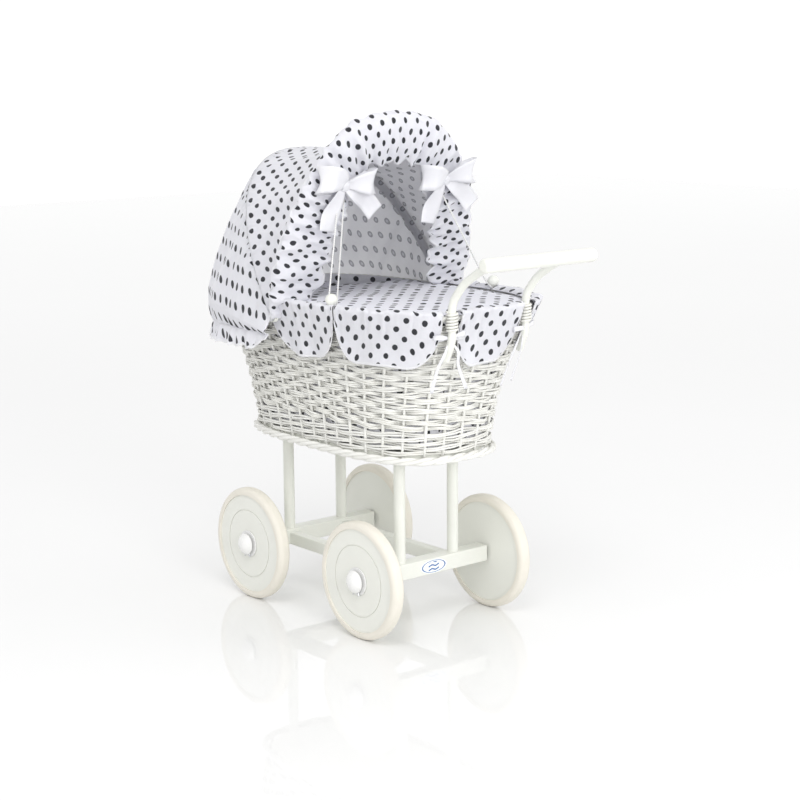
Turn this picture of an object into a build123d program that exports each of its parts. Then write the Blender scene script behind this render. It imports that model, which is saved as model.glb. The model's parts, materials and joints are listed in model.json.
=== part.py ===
from build123d import *
from math import atan2, cos, pi, radians, sin
import os

# Doll pram with a wicker basket, a folding fabric hood and four wheels.
# Millimetres. +X to the right, +Y towards the hood end (the front), +Z up.
# The origin is on the floor under the middle of the pram's box.

# Wheels and axles
WHEEL_MID_Y = 37.0
WHEELBASE = 225.0
TRACK = 202.6
WHEEL_R = 72.0
TYRE_WIDTH = 16.4
TYRE_ROUNDING = 6.0
DISC_R = 62.8
DISC_THICKNESS = 13.0
GROOVE_R = 43.6
GROOVE_WIDTH = 1.4
GROOVE_DEPTH = 0.9
BUSH_R = 5.0
AXLE_R = 3.0
AXLE_HALF_LENGTH = 116.0
RUNNING_GAP = 0.05
SEAT_GAP = 0.1
WASHER_R = 17.0
SPACER_R = 6.5
WASHER_THICKNESS = 1.2
CAP_R = 13.5
CAP_X = 112.4
CAP_HEIGHT = 9.0
CAP_DRUM = 2.0
PIN_X = 110.8
PIN_R = 1.0
PIN_SHANK = 12.0
PIN_SHANK_Z = 1.0
PIN_EYE_R = 2.2
PIN_EYE_Z = 8.6
PIN_WIRE_R = 0.8
PIN_LEG_R = 0.62
PIN_LEG_LENGTH = 14.0
PIN_LEG_Z = -4.4
PIN_LEG_SPLAY = 24.0

# Wooden chassis
BEAM_LENGTH = 182.0
BEAM_SIZE = 20.0
BEAM_ROUNDING = 1.5
RAIL_WIDTH = 14.0
RAIL_HEIGHT = 16.0
POST_X = 42.5
POST_R = 7.0
TENON_R = 5.0
TENON_DEPTH = 5.0
BADGE_X = 2.5
BADGE_LENGTH = 42.0
BADGE_HEIGHT = 17.0
BADGE_THICKNESS = 0.6

# Basket, a superellipse in plan that flares upwards
BASKET_Y = 31.0
BASKET_EXPONENT = 3.19
BOTTOM_Z = 215.5
BASKET_HEIGHT = 180.0
BOTTOM_HALF_WIDTH = 91.6
BOTTOM_HALF_LENGTH = 172.0
TOP_HALF_WIDTH = 132.0
TOP_HALF_LENGTH = 223.0
FLARE_LAG = 0.66
WALL = 7.0
RIM_BOTTOM_Z = 389.0
RIM_TOP_Z = 399.0
BASE_Z = 219.0
BASE_THICKNESS = 8.0
SCREW_R = 2.0
SCREW_HEAD_R = 4.0
SCREW_HEAD_HEIGHT = 2.5
SCREW_LENGTH = 30.0

# Bedding and lining
MATTRESS_Z = 228.0
QUILT_Z = 319.0
QUILT_TOP_Z = 396.0
QUILT_END_Y = 110.0
PILLOW_START_Y = 114.0
PILLOW_TOP_Z = 388.0
BEDDING_INSET = 9.8
LINER_OUT = -7.3
LINER_IN = -8.7

# Skirt that hangs outside the rim
SKIRT_BOTTOM_Z = 343.0
SKIRT_IN = 0.6
SKIRT_OUT = 3.2
SIDE_SLIT_Y = -63.0
SLIT = 8.0

# Handle
ARM_X = 57.0
ARM_R = 4.75
ARM_ROUTE = [
    (-178.0, 346.0),
    (-188.5, 369.0),
    (-188.5, 412.0),
    (-208.0, 435.0),
    (-238.0, 453.5),
    (-267.0, 462.2),
]
ARM_RADII = [25.0, 30.0, 60.0, 70.0]
GRIP_Y = -271.0
GRIP_Z = 463.0
GRIP_R = 8.25
GRIP_HALF_LENGTH = 85.0
BINDING_Z = 378.0
BINDING_HEIGHT = 26.0
BINDING_R = 7.5

# Hood: hoops and covers are arches about one hinge axis along X
HINGE_Y = 42.0
HINGE_Z = 380.0
HOOD_EXPONENT = 2.36
HOOP_WIDTH = 8.0
HOOP_THICKNESS = 2.2
EYE_R = 6.0
BOLT_R = 2.0
BOLT_END_X = 121.5
BOLT_HEAD_X = 141.3
BOLT_HEAD_R = 5.0
COLLAR_X = 128.8
COLLAR_R = 4.0
REAR_HOOP_ANGLE = 57.0
REAR_HOOP_IN = (136.0, 224.8)
FRONT_HOOP_ANGLE = 105.2
FRONT_HOOP_IN = (138.7, 227.5)
COVER_THICKNESS = 2.0
FRONT_COVER_IN = (141.4, 230.2)
MID_COVER_IN = (143.9, 232.7)
BACK_COVER_IN = (146.4, 235.2)
FRONT_COVER_ANGLES = (68.5, 104.0)
MID_COVER_ANGLES = (33.5, 68.0)
BACK_COVER_ANGLES = (-30.0, 33.0)
COVER_START_R = 14.0
BACK_COVER_BOTTOM_Z = 345.0
FRILL_IN = (137.0, 188.0)
FRILL_OUT = (150.0, 252.0)
FRILL_OFFSET = 4.4
FRILL_THICKNESS = 6.0
FRILL_START_R = 8.0

# Ribbon bows on the hood, and the cords that hold the hood up
RIBBON_X = 78.0
RIBBON_R = 168.0
RIBBON_SIZE = (56.0, 26.0, 10.0)
KNOB_X = 126.9
KNOB_Y = -57.0
KNOB_Z = 409.5
KNOB_R = 7.25
NECK_R = 2.2
NECK_DEPTH = 7.0
CORD_R = 0.9
CORD_RADII = [7.0, 3.6, 3.8, 3.6, 7.0]
CORD_DROP = 18.0
CORD_SPREAD = 3.5
# The loop round the knob's neck: towards the bow, across that, and height
CORD_LOOP = [(9.0, 5.0, 409.5), (1.0, 6.0, 401.3), (-5.0, 0.0, 401.1), (1.0, -6.0, 401.3), (9.0, -5.0, 409.5)]

# Ties at the handle arms
TIE_Y = -204.0
TIE_Z = 371.0
TIE_KNOT = (30.0, 4.0, 13.0)
TIE_TAIL = (6.0, 1.6, 44.0)
TIE_TAIL_SPLAY = 9.0

# Clearances and small details
FAR = 400.0
CLEARANCE = 0.2
END_PLAY = 0.5
LAYER_GAP = 1.0
BASE_INSET = 0.6
FOOT_BORDER_HEIGHT = 7.0
FOOT_BORDER_IN = 0.6
FOOT_BORDER_OUT = 5.0
PILLOW_INSET = 6.0
SKIRT_ARM_GAP = 11.0
SKIRT_HINGE_GAP = 12.0
GRIP_ROUNDING = 3.5
GRIP_SOCKET_DEPTH = 30.0
SOCKET_END_GAP = 0.3
BOLT_HEAD_THICKNESS = 2.0
CORD_LIFT = 3.0
RIBBON_ROUNDING = 3.0
RIBBON_GAP = 0.6

SIDES = {"left": -1, "right": 1}
ENDS = {"front": 1, "rear": -1}


def tube_x(outer_r, inner_r, x0, x1, y, z):
    """A tube along X between x0 and x1; a plain rod where inner_r is 0."""
    ring = Circle(outer_r) - Circle(inner_r) if inner_r else Circle(outer_r)
    low, high = min(x0, x1), max(x0, x1)
    plane = Plane(origin=(low, y, z), x_dir=(0, 1, 0), z_dir=(1, 0, 0))
    return extrude(plane * ring, high - low)


def axle_y(end):
    return WHEEL_MID_Y + end * WHEELBASE / 2


def revolved_wheel_part(profile, side, end):
    """Turns an (axial, radial) profile about the axle of one wheel, outer side towards +axial."""
    plane = Plane(origin=(side * TRACK / 2, axle_y(end), WHEEL_R), x_dir=(side, 0, 0), z_dir=(0, -side, 0))
    axis = Axis((0, axle_y(end), WHEEL_R), (1, 0, 0))
    return revolve(plane * profile, axis, 360)


def wheel_parts(side, end):
    """The tyre, the grooved wooden disc and the metal bush of one wheel."""
    edge = DISC_THICKNESS / 2
    tyre_inner = DISC_R + SEAT_GAP
    section = Pos(0, (tyre_inner + WHEEL_R) / 2) * Rectangle(TYRE_WIDTH, WHEEL_R - tyre_inner)
    tyre_section = fillet(section.vertices().group_by(Axis.Y)[-1], TYRE_ROUNDING)

    disc_section = Pos(0, (BUSH_R + SEAT_GAP + DISC_R) / 2) * Rectangle(DISC_THICKNESS, DISC_R - BUSH_R - SEAT_GAP)
    groove = Pos(edge, GROOVE_R) * Rectangle(2 * GROOVE_DEPTH, GROOVE_WIDTH)
    inner_r = AXLE_R + RUNNING_GAP
    bush_section = Pos(0, (inner_r + BUSH_R) / 2) * Rectangle(DISC_THICKNESS + 0.6, BUSH_R - inner_r)
    return {
        "tyre": revolved_wheel_part(tyre_section, side, end),
        "disc": revolved_wheel_part(disc_section - groove, side, end),
        "bush": revolved_wheel_part(bush_section, side, end),
    }


def axle_rod(end):
    """A steel rod from wheel to wheel, cross-drilled near both ends for its split pins."""
    rod = tube_x(AXLE_R, 0, -AXLE_HALF_LENGTH, AXLE_HALF_LENGTH, axle_y(end), WHEEL_R)
    for side in SIDES.values():
        rod -= Pos(side * PIN_X, axle_y(end), WHEEL_R) * Cylinder(PIN_R + RUNNING_GAP, 4 * AXLE_R)
    return rod


def split_pin(side, end):
    """A split pin through the axle: a round eye above, two splayed legs below."""
    pin = Pos(0, 0, PIN_SHANK_Z) * Cylinder(PIN_R, PIN_SHANK)
    pin += Pos(0, 0, PIN_EYE_Z) * Rot(0, 90, 0) * Torus(PIN_EYE_R, PIN_WIRE_R)
    leg = Pos(0, 0, -PIN_LEG_LENGTH / 2) * Cylinder(PIN_LEG_R, PIN_LEG_LENGTH)
    for splay in (-PIN_LEG_SPLAY, PIN_LEG_SPLAY):
        pin += Pos(0, 0, PIN_LEG_Z) * Rot(splay, 0, 0) * leg
    return Pos(side * PIN_X, axle_y(end), WHEEL_R) * pin


def hub_cap(side, end):
    """A domed push-on cap over the axle's end, turned about the axle: a short drum under a slice of a ball."""
    socket_r = AXLE_R + RUNNING_GAP
    socket_depth = AXLE_HALF_LENGTH + SEAT_GAP - CAP_X
    dome = TangentArc((CAP_HEIGHT, 0), (CAP_DRUM, CAP_R), tangent=(0, 1))
    sides = Polyline((CAP_DRUM, CAP_R), (0, CAP_R), (0, socket_r), (socket_depth, socket_r), (socket_depth, 0))
    section = make_face(dome + sides + Line((socket_depth, 0), (CAP_HEIGHT, 0)))
    turn = 0 if side > 0 else 180
    return Pos(side * CAP_X, axle_y(end), WHEEL_R) * Rot(0, 0, turn) * revolve(section, Axis.X)


def chassis():
    """Two beams, two side rails and four posts, with the axle hardware."""
    nodes = {}
    beam_top = WHEEL_R + BEAM_SIZE / 2
    for end_name, end in ENDS.items():
        y = axle_y(end)
        beam = Pos(0, y, WHEEL_R) * Box(BEAM_LENGTH, BEAM_SIZE, BEAM_SIZE)
        beam = fillet(beam.edges().filter_by(Axis.X), BEAM_ROUNDING)
        beam -= tube_x(AXLE_R + SEAT_GAP, 0, -BEAM_LENGTH, BEAM_LENGTH, y, WHEEL_R)
        for side_name, side in SIDES.items():
            beam -= Pos(side * POST_X, y, beam_top) * Cylinder(TENON_R + SEAT_GAP, 2 * (TENON_DEPTH + SEAT_GAP))
            post = Pos(side * POST_X, y, (beam_top + BASE_Z) / 2) * Cylinder(POST_R, BASE_Z - beam_top)
            post += Pos(side * POST_X, y, beam_top) * Cylinder(TENON_R, 2 * TENON_DEPTH)
            post -= Pos(side * POST_X, y, BASE_Z) * Cylinder(SCREW_R + SEAT_GAP, 2 * SCREW_LENGTH)
            nodes[f"{end_name}_{side_name}_post"] = post
        nodes[f"{end_name}_axle_beam"] = beam
        nodes[f"{end_name}_axle_rod"] = axle_rod(end)

    rail_length = WHEELBASE - BEAM_SIZE
    rail_z = WHEEL_R - BEAM_SIZE / 2 + RAIL_HEIGHT / 2
    for side_name, side in SIDES.items():
        rail = Pos(side * POST_X, WHEEL_MID_Y, rail_z) * Box(RAIL_WIDTH, rail_length, RAIL_HEIGHT)
        nodes[f"{side_name}_side_rail"] = fillet(rail.edges().filter_by(Axis.Y), BEAM_ROUNDING)

    corners = [(side, end) for end in ENDS.values() for side in SIDES.values()]
    spacer_x = BEAM_LENGTH / 2 + SEAT_GAP
    disc_in = (TRACK - DISC_THICKNESS) / 2
    disc_out = (TRACK + DISC_THICKNESS) / 2
    washer_x = disc_out + END_PLAY
    nodes["axle_spacers"] = [
        tube_x(SPACER_R, AXLE_R + SEAT_GAP, s * spacer_x, s * (disc_in - END_PLAY), axle_y(e), WHEEL_R)
        for s, e in corners
    ]
    nodes["axle_washers"] = [
        tube_x(WASHER_R, AXLE_R + SEAT_GAP, s * washer_x, s * (washer_x + WASHER_THICKNESS), axle_y(e), WHEEL_R)
        for s, e in corners
    ]
    nodes["axle_split_pins"] = [split_pin(s, e) for s, e in corners]
    nodes["hub_caps"] = [hub_cap(s, e) for s, e in corners]

    face_y = axle_y(-1) - BEAM_SIZE / 2
    badge_plane = Plane(origin=(BADGE_X, face_y, WHEEL_R), x_dir=(1, 0, 0), z_dir=(0, -1, 0))
    nodes["badge"] = extrude(badge_plane * Ellipse(BADGE_LENGTH / 2, BADGE_HEIGHT / 2), BADGE_THICKNESS)
    return nodes


def basket_outline(z, offset, points=16):
    """The basket's closed plan curve at height z, moved out by offset."""
    s = (z - BOTTOM_Z) / BASKET_HEIGHT
    flare = s - FLARE_LAG * s * (1 - s)
    half_width = BOTTOM_HALF_WIDTH + flare * (TOP_HALF_WIDTH - BOTTOM_HALF_WIDTH) + offset
    half_length = BOTTOM_HALF_LENGTH + flare * (TOP_HALF_LENGTH - BOTTOM_HALF_LENGTH) + offset
    curve = []
    for i in range(points):
        angle = 2 * pi * i / points
        c, w = abs(cos(angle)) / half_width, abs(sin(angle)) / half_length
        r = (c**BASKET_EXPONENT + w**BASKET_EXPONENT) ** (-1 / BASKET_EXPONENT)
        curve.append((r * cos(angle), BASKET_Y + r * sin(angle), z))
    return make_face(Spline(*curve, periodic=True))


def basket_body(z0, z1, offset):
    """A solid that fills the basket's shape between two heights."""
    steps = max(2, round((z1 - z0) / 80))
    sections = [basket_outline(z0 + (z1 - z0) * i / steps, offset) for i in range(steps + 1)]
    return loft(sections)


def basket_ring(z0, z1, inner, outer):
    """A band that follows the basket's wall between two offsets from its outer face."""
    return basket_body(z0, z1, outer) - basket_body(z0 - 1, z1 + 1, inner)


def slab(x0, x1, y0, y1, z0, z1):
    """A block between two corners, used to cut bands into lengths."""
    block = Box(x1 - x0, y1 - y0, z1 - z0)
    return Pos((x0 + x1) / 2, (y0 + y1) / 2, (z0 + z1) / 2) * block


def binding_space(side):
    """The room that a cane binding and its arm take out of the rim."""
    height = BINDING_HEIGHT + 2 * LAYER_GAP
    return Pos(side * ARM_X, ARM_ROUTE[1][0], BINDING_Z + BINDING_HEIGHT / 2) * Cylinder(BINDING_R + SOCKET_END_GAP, height)


def basket():
    """The woven wall with its foot and rim borders, the base board and its screws."""
    wall = basket_ring(BOTTOM_Z, RIM_BOTTOM_Z, -WALL, 0)
    rim = basket_ring(RIM_BOTTOM_Z, RIM_TOP_Z, -WALL, 0)
    foot_top = BOTTOM_Z + FOOT_BORDER_HEIGHT
    foot = basket_ring(BOTTOM_Z - LAYER_GAP, foot_top, FOOT_BORDER_IN, FOOT_BORDER_OUT)
    base = basket_body(BASE_Z, BASE_Z + BASE_THICKNESS, -WALL - BASE_INSET)
    base_top = BASE_Z + BASE_THICKNESS
    screws = []
    for side in SIDES.values():
        wall -= tube_x(BOLT_R + CLEARANCE, 0, side * (BOLT_END_X - LAYER_GAP), side * FAR, HINGE_Y, HINGE_Z)
        wall -= binding_space(side)
        rim -= binding_space(side)
        rim -= Pos(side * KNOB_X, KNOB_Y, RIM_TOP_Z) * Cylinder(NECK_R + SEAT_GAP, 2 * (NECK_DEPTH + LAYER_GAP))
        for end in ENDS.values():
            head = Pos(0, 0, -SCREW_HEAD_HEIGHT / 2) * Cone(SCREW_R, SCREW_HEAD_R, SCREW_HEAD_HEIGHT)
            shank = Pos(0, 0, -SCREW_LENGTH / 2) * Cylinder(SCREW_R, SCREW_LENGTH)
            place = Pos(side * POST_X, axle_y(end), base_top)
            screws.append(place * (head + shank))
            hole = Cylinder(SCREW_R + SEAT_GAP, 3 * BASE_THICKNESS)
            seat = Cone(SCREW_R + CLEARANCE, SCREW_HEAD_R + CLEARANCE, SCREW_HEAD_HEIGHT)
            base -= place * (hole + Pos(0, 0, -SCREW_HEAD_HEIGHT / 2) * seat)
    return {
        "basket_wall": wall,
        "basket_rim_border": rim,
        "basket_foot_border": foot,
        "basket_base": base,
        "base_screws": screws,
    }


def bedding():
    """Mattress, pillow, quilt and the fabric lining of the wall."""
    quilt_block = basket_body(QUILT_Z, QUILT_TOP_Z, -BEDDING_INSET)
    pillow_block = basket_body(QUILT_Z, PILLOW_TOP_Z, -BEDDING_INSET - PILLOW_INSET)
    liner = basket_ring(MATTRESS_Z + 2 * LAYER_GAP, RIM_TOP_Z, LINER_IN, LINER_OUT)
    for side in SIDES.values():
        liner -= binding_space(side)
    return {
        "mattress": basket_body(MATTRESS_Z, QUILT_Z - LAYER_GAP, -BEDDING_INSET),
        "quilt": quilt_block & slab(-FAR, FAR, -FAR, QUILT_END_Y, 0, 2 * FAR),
        "pillow": pillow_block & slab(-FAR, FAR, PILLOW_START_Y, FAR, 0, 2 * FAR),
        "liner": liner,
    }


def skirts():
    """The dotted skirt: a short and a long flap on each side, and one flap between the handle arms."""
    band = basket_ring(SKIRT_BOTTOM_Z, RIM_TOP_Z, SKIRT_IN, SKIRT_OUT)
    rear_half = ARM_X - SKIRT_ARM_GAP
    nodes = {"skirt_rear": band & slab(-rear_half, rear_half, -FAR, BASKET_Y, 0, 2 * FAR)}
    for side_name, side in SIDES.items():
        x0, x1 = sorted((side * FAR, side * (ARM_X + SKIRT_ARM_GAP)))
        front_flap = band & slab(x0, x1, SIDE_SLIT_Y + SLIT / 2, HINGE_Y - SKIRT_HINGE_GAP, 0, 2 * FAR)
        long_flap = band & slab(x0, x1, -FAR, SIDE_SLIT_Y - SLIT / 2, 0, 2 * FAR)
        nodes[f"skirt_{side_name}"] = [front_flap, long_flap]
    return nodes


def handle():
    """Two bent cane arms, their bindings and the turned grip."""
    nodes = {}
    grip = tube_x(GRIP_R, 0, -GRIP_HALF_LENGTH, GRIP_HALF_LENGTH, GRIP_Y, GRIP_Z)
    grip = fillet(grip.edges().filter_by(GeomType.CIRCLE), GRIP_ROUNDING)
    (y0, z0), (y1, z1) = ARM_ROUTE[-2:]
    for side_name, side in SIDES.items():
        x = side * ARM_X
        route = FilletPolyline(*[(x, y, z) for y, z in ARM_ROUTE], radius=ARM_RADII)
        start = Plane(origin=route @ 0, z_dir=route % 0)
        nodes[f"handle_arm_{side_name}"] = sweep(start * Circle(ARM_R), path=route)
        socket = Plane(origin=(x, y1, z1), z_dir=(0, y1 - y0, z1 - z0))
        bore = socket * Circle(ARM_R + SEAT_GAP)
        grip -= extrude(bore, -GRIP_SOCKET_DEPTH) + extrude(bore, SOCKET_END_GAP)
        binding_ring = Circle(BINDING_R) - Circle(ARM_R + CLEARANCE)
        nodes[f"arm_binding_{side_name}"] = extrude(Pos(x, ARM_ROUTE[1][0], BINDING_Z) * binding_ring, BINDING_HEIGHT)
    nodes["handle_grip"] = grip
    return nodes


def hood_plane(angle, offset=0.0):
    """The plane through the hinge axis at an angle above +Y: local x is the row's X, local y is outwards."""
    c, s = cos(radians(angle)), sin(radians(angle))
    origin = (0, HINGE_Y - offset * s, HINGE_Z + offset * c)
    return Plane(origin=origin, x_dir=(1, 0, 0), z_dir=(0, -s, c))


def arch_point(half_width, height, angle):
    c, w = abs(cos(angle)) / half_width, abs(sin(angle)) / height
    r = (c**HOOD_EXPONENT + w**HOOD_EXPONENT) ** (-1 / HOOD_EXPONENT)
    return (r * cos(angle), r * sin(angle))


def arch_curve(half_width, height, start_r, points=11):
    """Half a superellipse from right to left, starting start_r above the hinge axis."""
    first = atan2(start_r, half_width)
    angles = [first + (pi - 2 * first) * i / (points - 1) for i in range(points)]
    return Spline(*[arch_point(half_width, height, a) for a in angles])


def arch_face(inner, outer, start_r):
    """The band between two arches, each given as (half width, height)."""
    outside, inside = arch_curve(*outer, start_r), arch_curve(*inner, start_r)
    ends = Line(outside @ 1, inside @ 1) + Line(inside @ 0, outside @ 0)
    return make_face(outside + inside + ends)


def grown(arch, thickness):
    return (arch[0] + thickness, arch[1] + thickness)


def hoop(inner, angle):
    """A flat bent-cane hoop whose two legs end in round eyes on the hinge axis."""
    face = arch_face(inner, grown(inner, HOOP_THICKNESS), 0)
    band = extrude(hood_plane(angle) * face, HOOP_WIDTH / 2, both=True)
    for side in SIDES.values():
        x0, x1 = side * inner[0], side * (inner[0] + HOOP_THICKNESS)
        band += tube_x(EYE_R, 0, x0, x1, HINGE_Y, HINGE_Z)
    for side in SIDES.values():
        band -= tube_x(BOLT_R + RUNNING_GAP, 0, 0, side * FAR, HINGE_Y, HINGE_Z)
    return band


def cover(inner, angles):
    """A stretch of the fabric hood, turned about the hinge axis."""
    face = arch_face(inner, grown(inner, COVER_THICKNESS), COVER_START_R)
    axis = Axis((0, HINGE_Y, HINGE_Z), (1, 0, 0))
    return revolve(hood_plane(angles[0]) * face, axis, angles[1] - angles[0])


def hood():
    """Two hoops on two shouldered bolts, three cover panels that nest as the hood folds, and the front frill."""
    nodes = {
        "hood_rear_hoop": hoop(REAR_HOOP_IN, REAR_HOOP_ANGLE),
        "hood_front_hoop": hoop(FRONT_HOOP_IN, FRONT_HOOP_ANGLE),
        "hood_front_panel": cover(FRONT_COVER_IN, FRONT_COVER_ANGLES),
        "hood_mid_panel": cover(MID_COVER_IN, MID_COVER_ANGLES),
    }
    back = cover(BACK_COVER_IN, BACK_COVER_ANGLES)
    nodes["hood_back_panel"] = back & slab(-FAR, FAR, HINGE_Y + COVER_START_R, FAR, BACK_COVER_BOTTOM_Z, 2 * FAR)

    frill_face = arch_face(FRILL_IN, FRILL_OUT, FRILL_START_R)
    nodes["hood_frill"] = extrude(hood_plane(FRONT_HOOP_ANGLE, FRILL_OFFSET) * frill_face, FRILL_THICKNESS)

    bolts = []
    for side in SIDES.values():
        shank = tube_x(BOLT_R, 0, side * BOLT_END_X, side * BOLT_HEAD_X, HINGE_Y, HINGE_Z)
        head_end = side * (BOLT_HEAD_X + BOLT_HEAD_THICKNESS)
        head = tube_x(BOLT_HEAD_R, 0, side * BOLT_HEAD_X, head_end, HINGE_Y, HINGE_Z)
        collar_end = side * (REAR_HOOP_IN[0] - SOCKET_END_GAP)
        collar = tube_x(COLLAR_R, 0, side * COLLAR_X, collar_end, HINGE_Y, HINGE_Z)
        bolts.append(shank + head + collar)
    nodes["hood_bolts"] = bolts
    return nodes


def ribbon_place(lift):
    """A point on the frill's front face, where a ribbon bow sits, lifted off it."""
    offset = FRILL_OFFSET + FRILL_THICKNESS + lift
    plane = hood_plane(FRONT_HOOP_ANGLE, offset)
    return plane * Pos(0, RIBBON_R, 0)


def hood_cord(side):
    """A cord from the ribbon bow down round the knob's neck and back: the points of its route."""
    top = ribbon_place(CORD_LIFT).position
    toward = Vector(side * RIBBON_X - side * KNOB_X, top.Y - KNOB_Y, 0).normalized()
    across = Vector(-toward.Y, toward.X, 0)
    knob = Vector(side * KNOB_X, KNOB_Y, 0)
    loop = [knob + toward * u + across * v + Vector(0, 0, z) for u, v, z in CORD_LOOP]
    under_bow = Vector(side * RIBBON_X, top.Y, top.Z - CORD_DROP)
    tops = [under_bow + across * v for v in (CORD_SPREAD, -CORD_SPREAD)]
    return [tops[0], *loop, tops[1]]


def trims():
    """Ribbon bows, hood cords, their knobs and the ties at the handle arms."""
    nodes = {}
    width, height, depth = RIBBON_SIZE
    for side_name, side in SIDES.items():
        bow = fillet(Box(width, height, depth).edges(), RIBBON_ROUNDING)
        nodes[f"ribbon_bow_{side_name}"] = ribbon_place(depth / 2 + RIBBON_GAP) * Pos(side * RIBBON_X, 0, 0) * bow

        route = hood_cord(side)
        path = FilletPolyline(*route, radius=CORD_RADII)
        start = Plane(origin=path @ 0, z_dir=path % 0)
        nodes[f"hood_cord_{side_name}"] = sweep(start * Circle(CORD_R), path=path)
        print("hood cord", side_name, "length", round(path.length, 1), "radii", CORD_RADII)

        neck_foot = RIM_TOP_Z - NECK_DEPTH
        neck = Pos(side * KNOB_X, KNOB_Y, (KNOB_Z + neck_foot) / 2) * Cylinder(NECK_R, KNOB_Z - neck_foot)
        nodes[f"cord_knob_{side_name}"] = neck + Pos(side * KNOB_X, KNOB_Y, KNOB_Z) * Sphere(KNOB_R)

        tie = Box(*TIE_KNOT)
        tail = Pos(0, 0, -TIE_TAIL[2] / 2) * Box(*TIE_TAIL)
        for splay in (-TIE_TAIL_SPLAY, TIE_TAIL_SPLAY):
            tie += Rot(0, splay, 0) * tail
        nodes[f"tie_ribbon_{side_name}"] = Pos(side * ARM_X, TIE_Y, TIE_Z) * tie
    return nodes


def write(nodes):
    os.makedirs("parts", exist_ok=True)
    for name, shape in nodes.items():
        solids = shape if isinstance(shape, list) else [shape]
        bodies = [solid for item in solids for solid in item.solids()]
        export_step(bodies[0] if len(bodies) == 1 else Compound(bodies), f"parts/{name}.step")


def main():
    nodes = {**chassis(), **basket(), **bedding(), **skirts(), **handle(), **hood(), **trims()}
    for end_name, end in ENDS.items():
        for side_name, side in SIDES.items():
            for part, shape in wheel_parts(side, end).items():
                nodes[f"{end_name}_{side_name}_{part}"] = shape
    write(nodes)
    print(len(nodes), "nodes")


main()
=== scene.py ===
import json
from math import cos, pi, radians, sin

import bpy
import numpy as np
from mathutils import Matrix, Vector


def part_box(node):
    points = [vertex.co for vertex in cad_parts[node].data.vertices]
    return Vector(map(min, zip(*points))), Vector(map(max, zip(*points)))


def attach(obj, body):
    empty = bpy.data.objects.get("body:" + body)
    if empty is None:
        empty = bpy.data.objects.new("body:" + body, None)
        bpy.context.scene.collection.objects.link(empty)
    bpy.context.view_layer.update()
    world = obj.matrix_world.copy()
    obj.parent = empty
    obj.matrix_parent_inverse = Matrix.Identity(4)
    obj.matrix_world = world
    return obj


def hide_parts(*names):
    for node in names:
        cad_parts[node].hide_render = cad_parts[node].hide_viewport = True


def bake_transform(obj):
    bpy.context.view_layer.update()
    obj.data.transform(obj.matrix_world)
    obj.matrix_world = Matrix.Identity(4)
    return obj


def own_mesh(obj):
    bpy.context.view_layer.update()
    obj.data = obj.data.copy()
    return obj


# A doll pram: wicker basket, dotted cotton hood and bedding, wooden chassis with disc wheels.
# Metres, +X to the right, +Y towards the hood end, +Z up.

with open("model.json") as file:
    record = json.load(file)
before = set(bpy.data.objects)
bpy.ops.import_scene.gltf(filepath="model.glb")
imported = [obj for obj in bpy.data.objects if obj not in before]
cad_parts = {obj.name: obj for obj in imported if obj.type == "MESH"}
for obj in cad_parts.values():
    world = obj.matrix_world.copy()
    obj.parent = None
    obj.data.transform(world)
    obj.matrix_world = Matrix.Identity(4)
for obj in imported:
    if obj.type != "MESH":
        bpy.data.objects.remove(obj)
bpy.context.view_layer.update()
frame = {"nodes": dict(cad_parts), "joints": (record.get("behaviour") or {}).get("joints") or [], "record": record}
nodes = frame["nodes"]
joints = {j["name"]: j for j in frame["joints"]}
slots = {p["node"]: p["material_slot"] for p in frame["record"]["subparts"]}
SIDES = {"left": -1, "right": 1}
_, HINGE_Y, HINGE_Z = joints["hood_fold"]["pos_m"]

# ---------------------------------------------------------------- camera and light

CAMERA_AT = Vector((-1.3875, -1.7034, 0.6899))
CAMERA_TURN, CAMERA_RISE, CAMERA_ROLL = radians(-39.608), radians(10.899), radians(-0.446)


def make_camera():
    back = Vector(
        (sin(CAMERA_TURN) * cos(CAMERA_RISE), -cos(CAMERA_TURN) * cos(CAMERA_RISE), sin(CAMERA_RISE))
    )
    level = (-back).cross(Vector((0, 0, 1))).normalized()
    above = level.cross(-back).normalized()
    right = cos(CAMERA_ROLL) * level + sin(CAMERA_ROLL) * above
    up = -sin(CAMERA_ROLL) * level + cos(CAMERA_ROLL) * above
    data = bpy.data.cameras.new("camera")
    data.lens = 81.24
    data.sensor_width = 36
    camera = bpy.data.objects.new("camera", data)
    bpy.context.scene.collection.objects.link(camera)
    turn = Matrix((right, up, back)).transposed().to_4x4()
    camera.matrix_world = Matrix.Translation(CAMERA_AT) @ turn
    bpy.context.scene.camera = camera


def area_light(name, place, aim, size, power):
    data = bpy.data.lights.new(name, "AREA")
    data.shape = "DISK"
    data.size = size
    data.energy = power
    light = bpy.data.objects.new(name, data)
    bpy.context.scene.collection.objects.link(light)
    light.location = place
    light.rotation_euler = (Vector(aim) - Vector(place)).to_track_quat("-Z", "Y").to_euler()


def make_studio():
    """A white room, brightest round its walls, with a broad light over the shoulder and one into the hood."""
    world = bpy.data.worlds.new("studio")
    bpy.context.scene.world = world
    world.use_nodes = True
    tree = world.node_tree
    background = tree.nodes["Background"]
    background.inputs["Strength"].default_value = 1.1
    height = split(tree, add(tree, "TexCoord").outputs["Generated"])["Z"]
    ceiling = spread(tree, height, 0.25, 0.75, 0, 1, smooth=True)
    tree.links.new(blend_colour(tree, ceiling, (1, 1, 1), (0.76, 0.76, 0.76)), background.inputs["Color"])
    middle = (0, 0, 0.35)
    area_light("key", (-1.3, -1.1, 2.4), middle, 1.2, 14)
    area_light("fill", (1.6, -1.6, 1.2), middle, 1.5, 3)
    area_light("into_hood", (-0.55, -2.0, 0.80), (0, 0.05, 0.45), 0.9, 15)
    bpy.context.scene.view_settings.view_transform = "Standard"


# ---------------------------------------------------------------- materials


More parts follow.
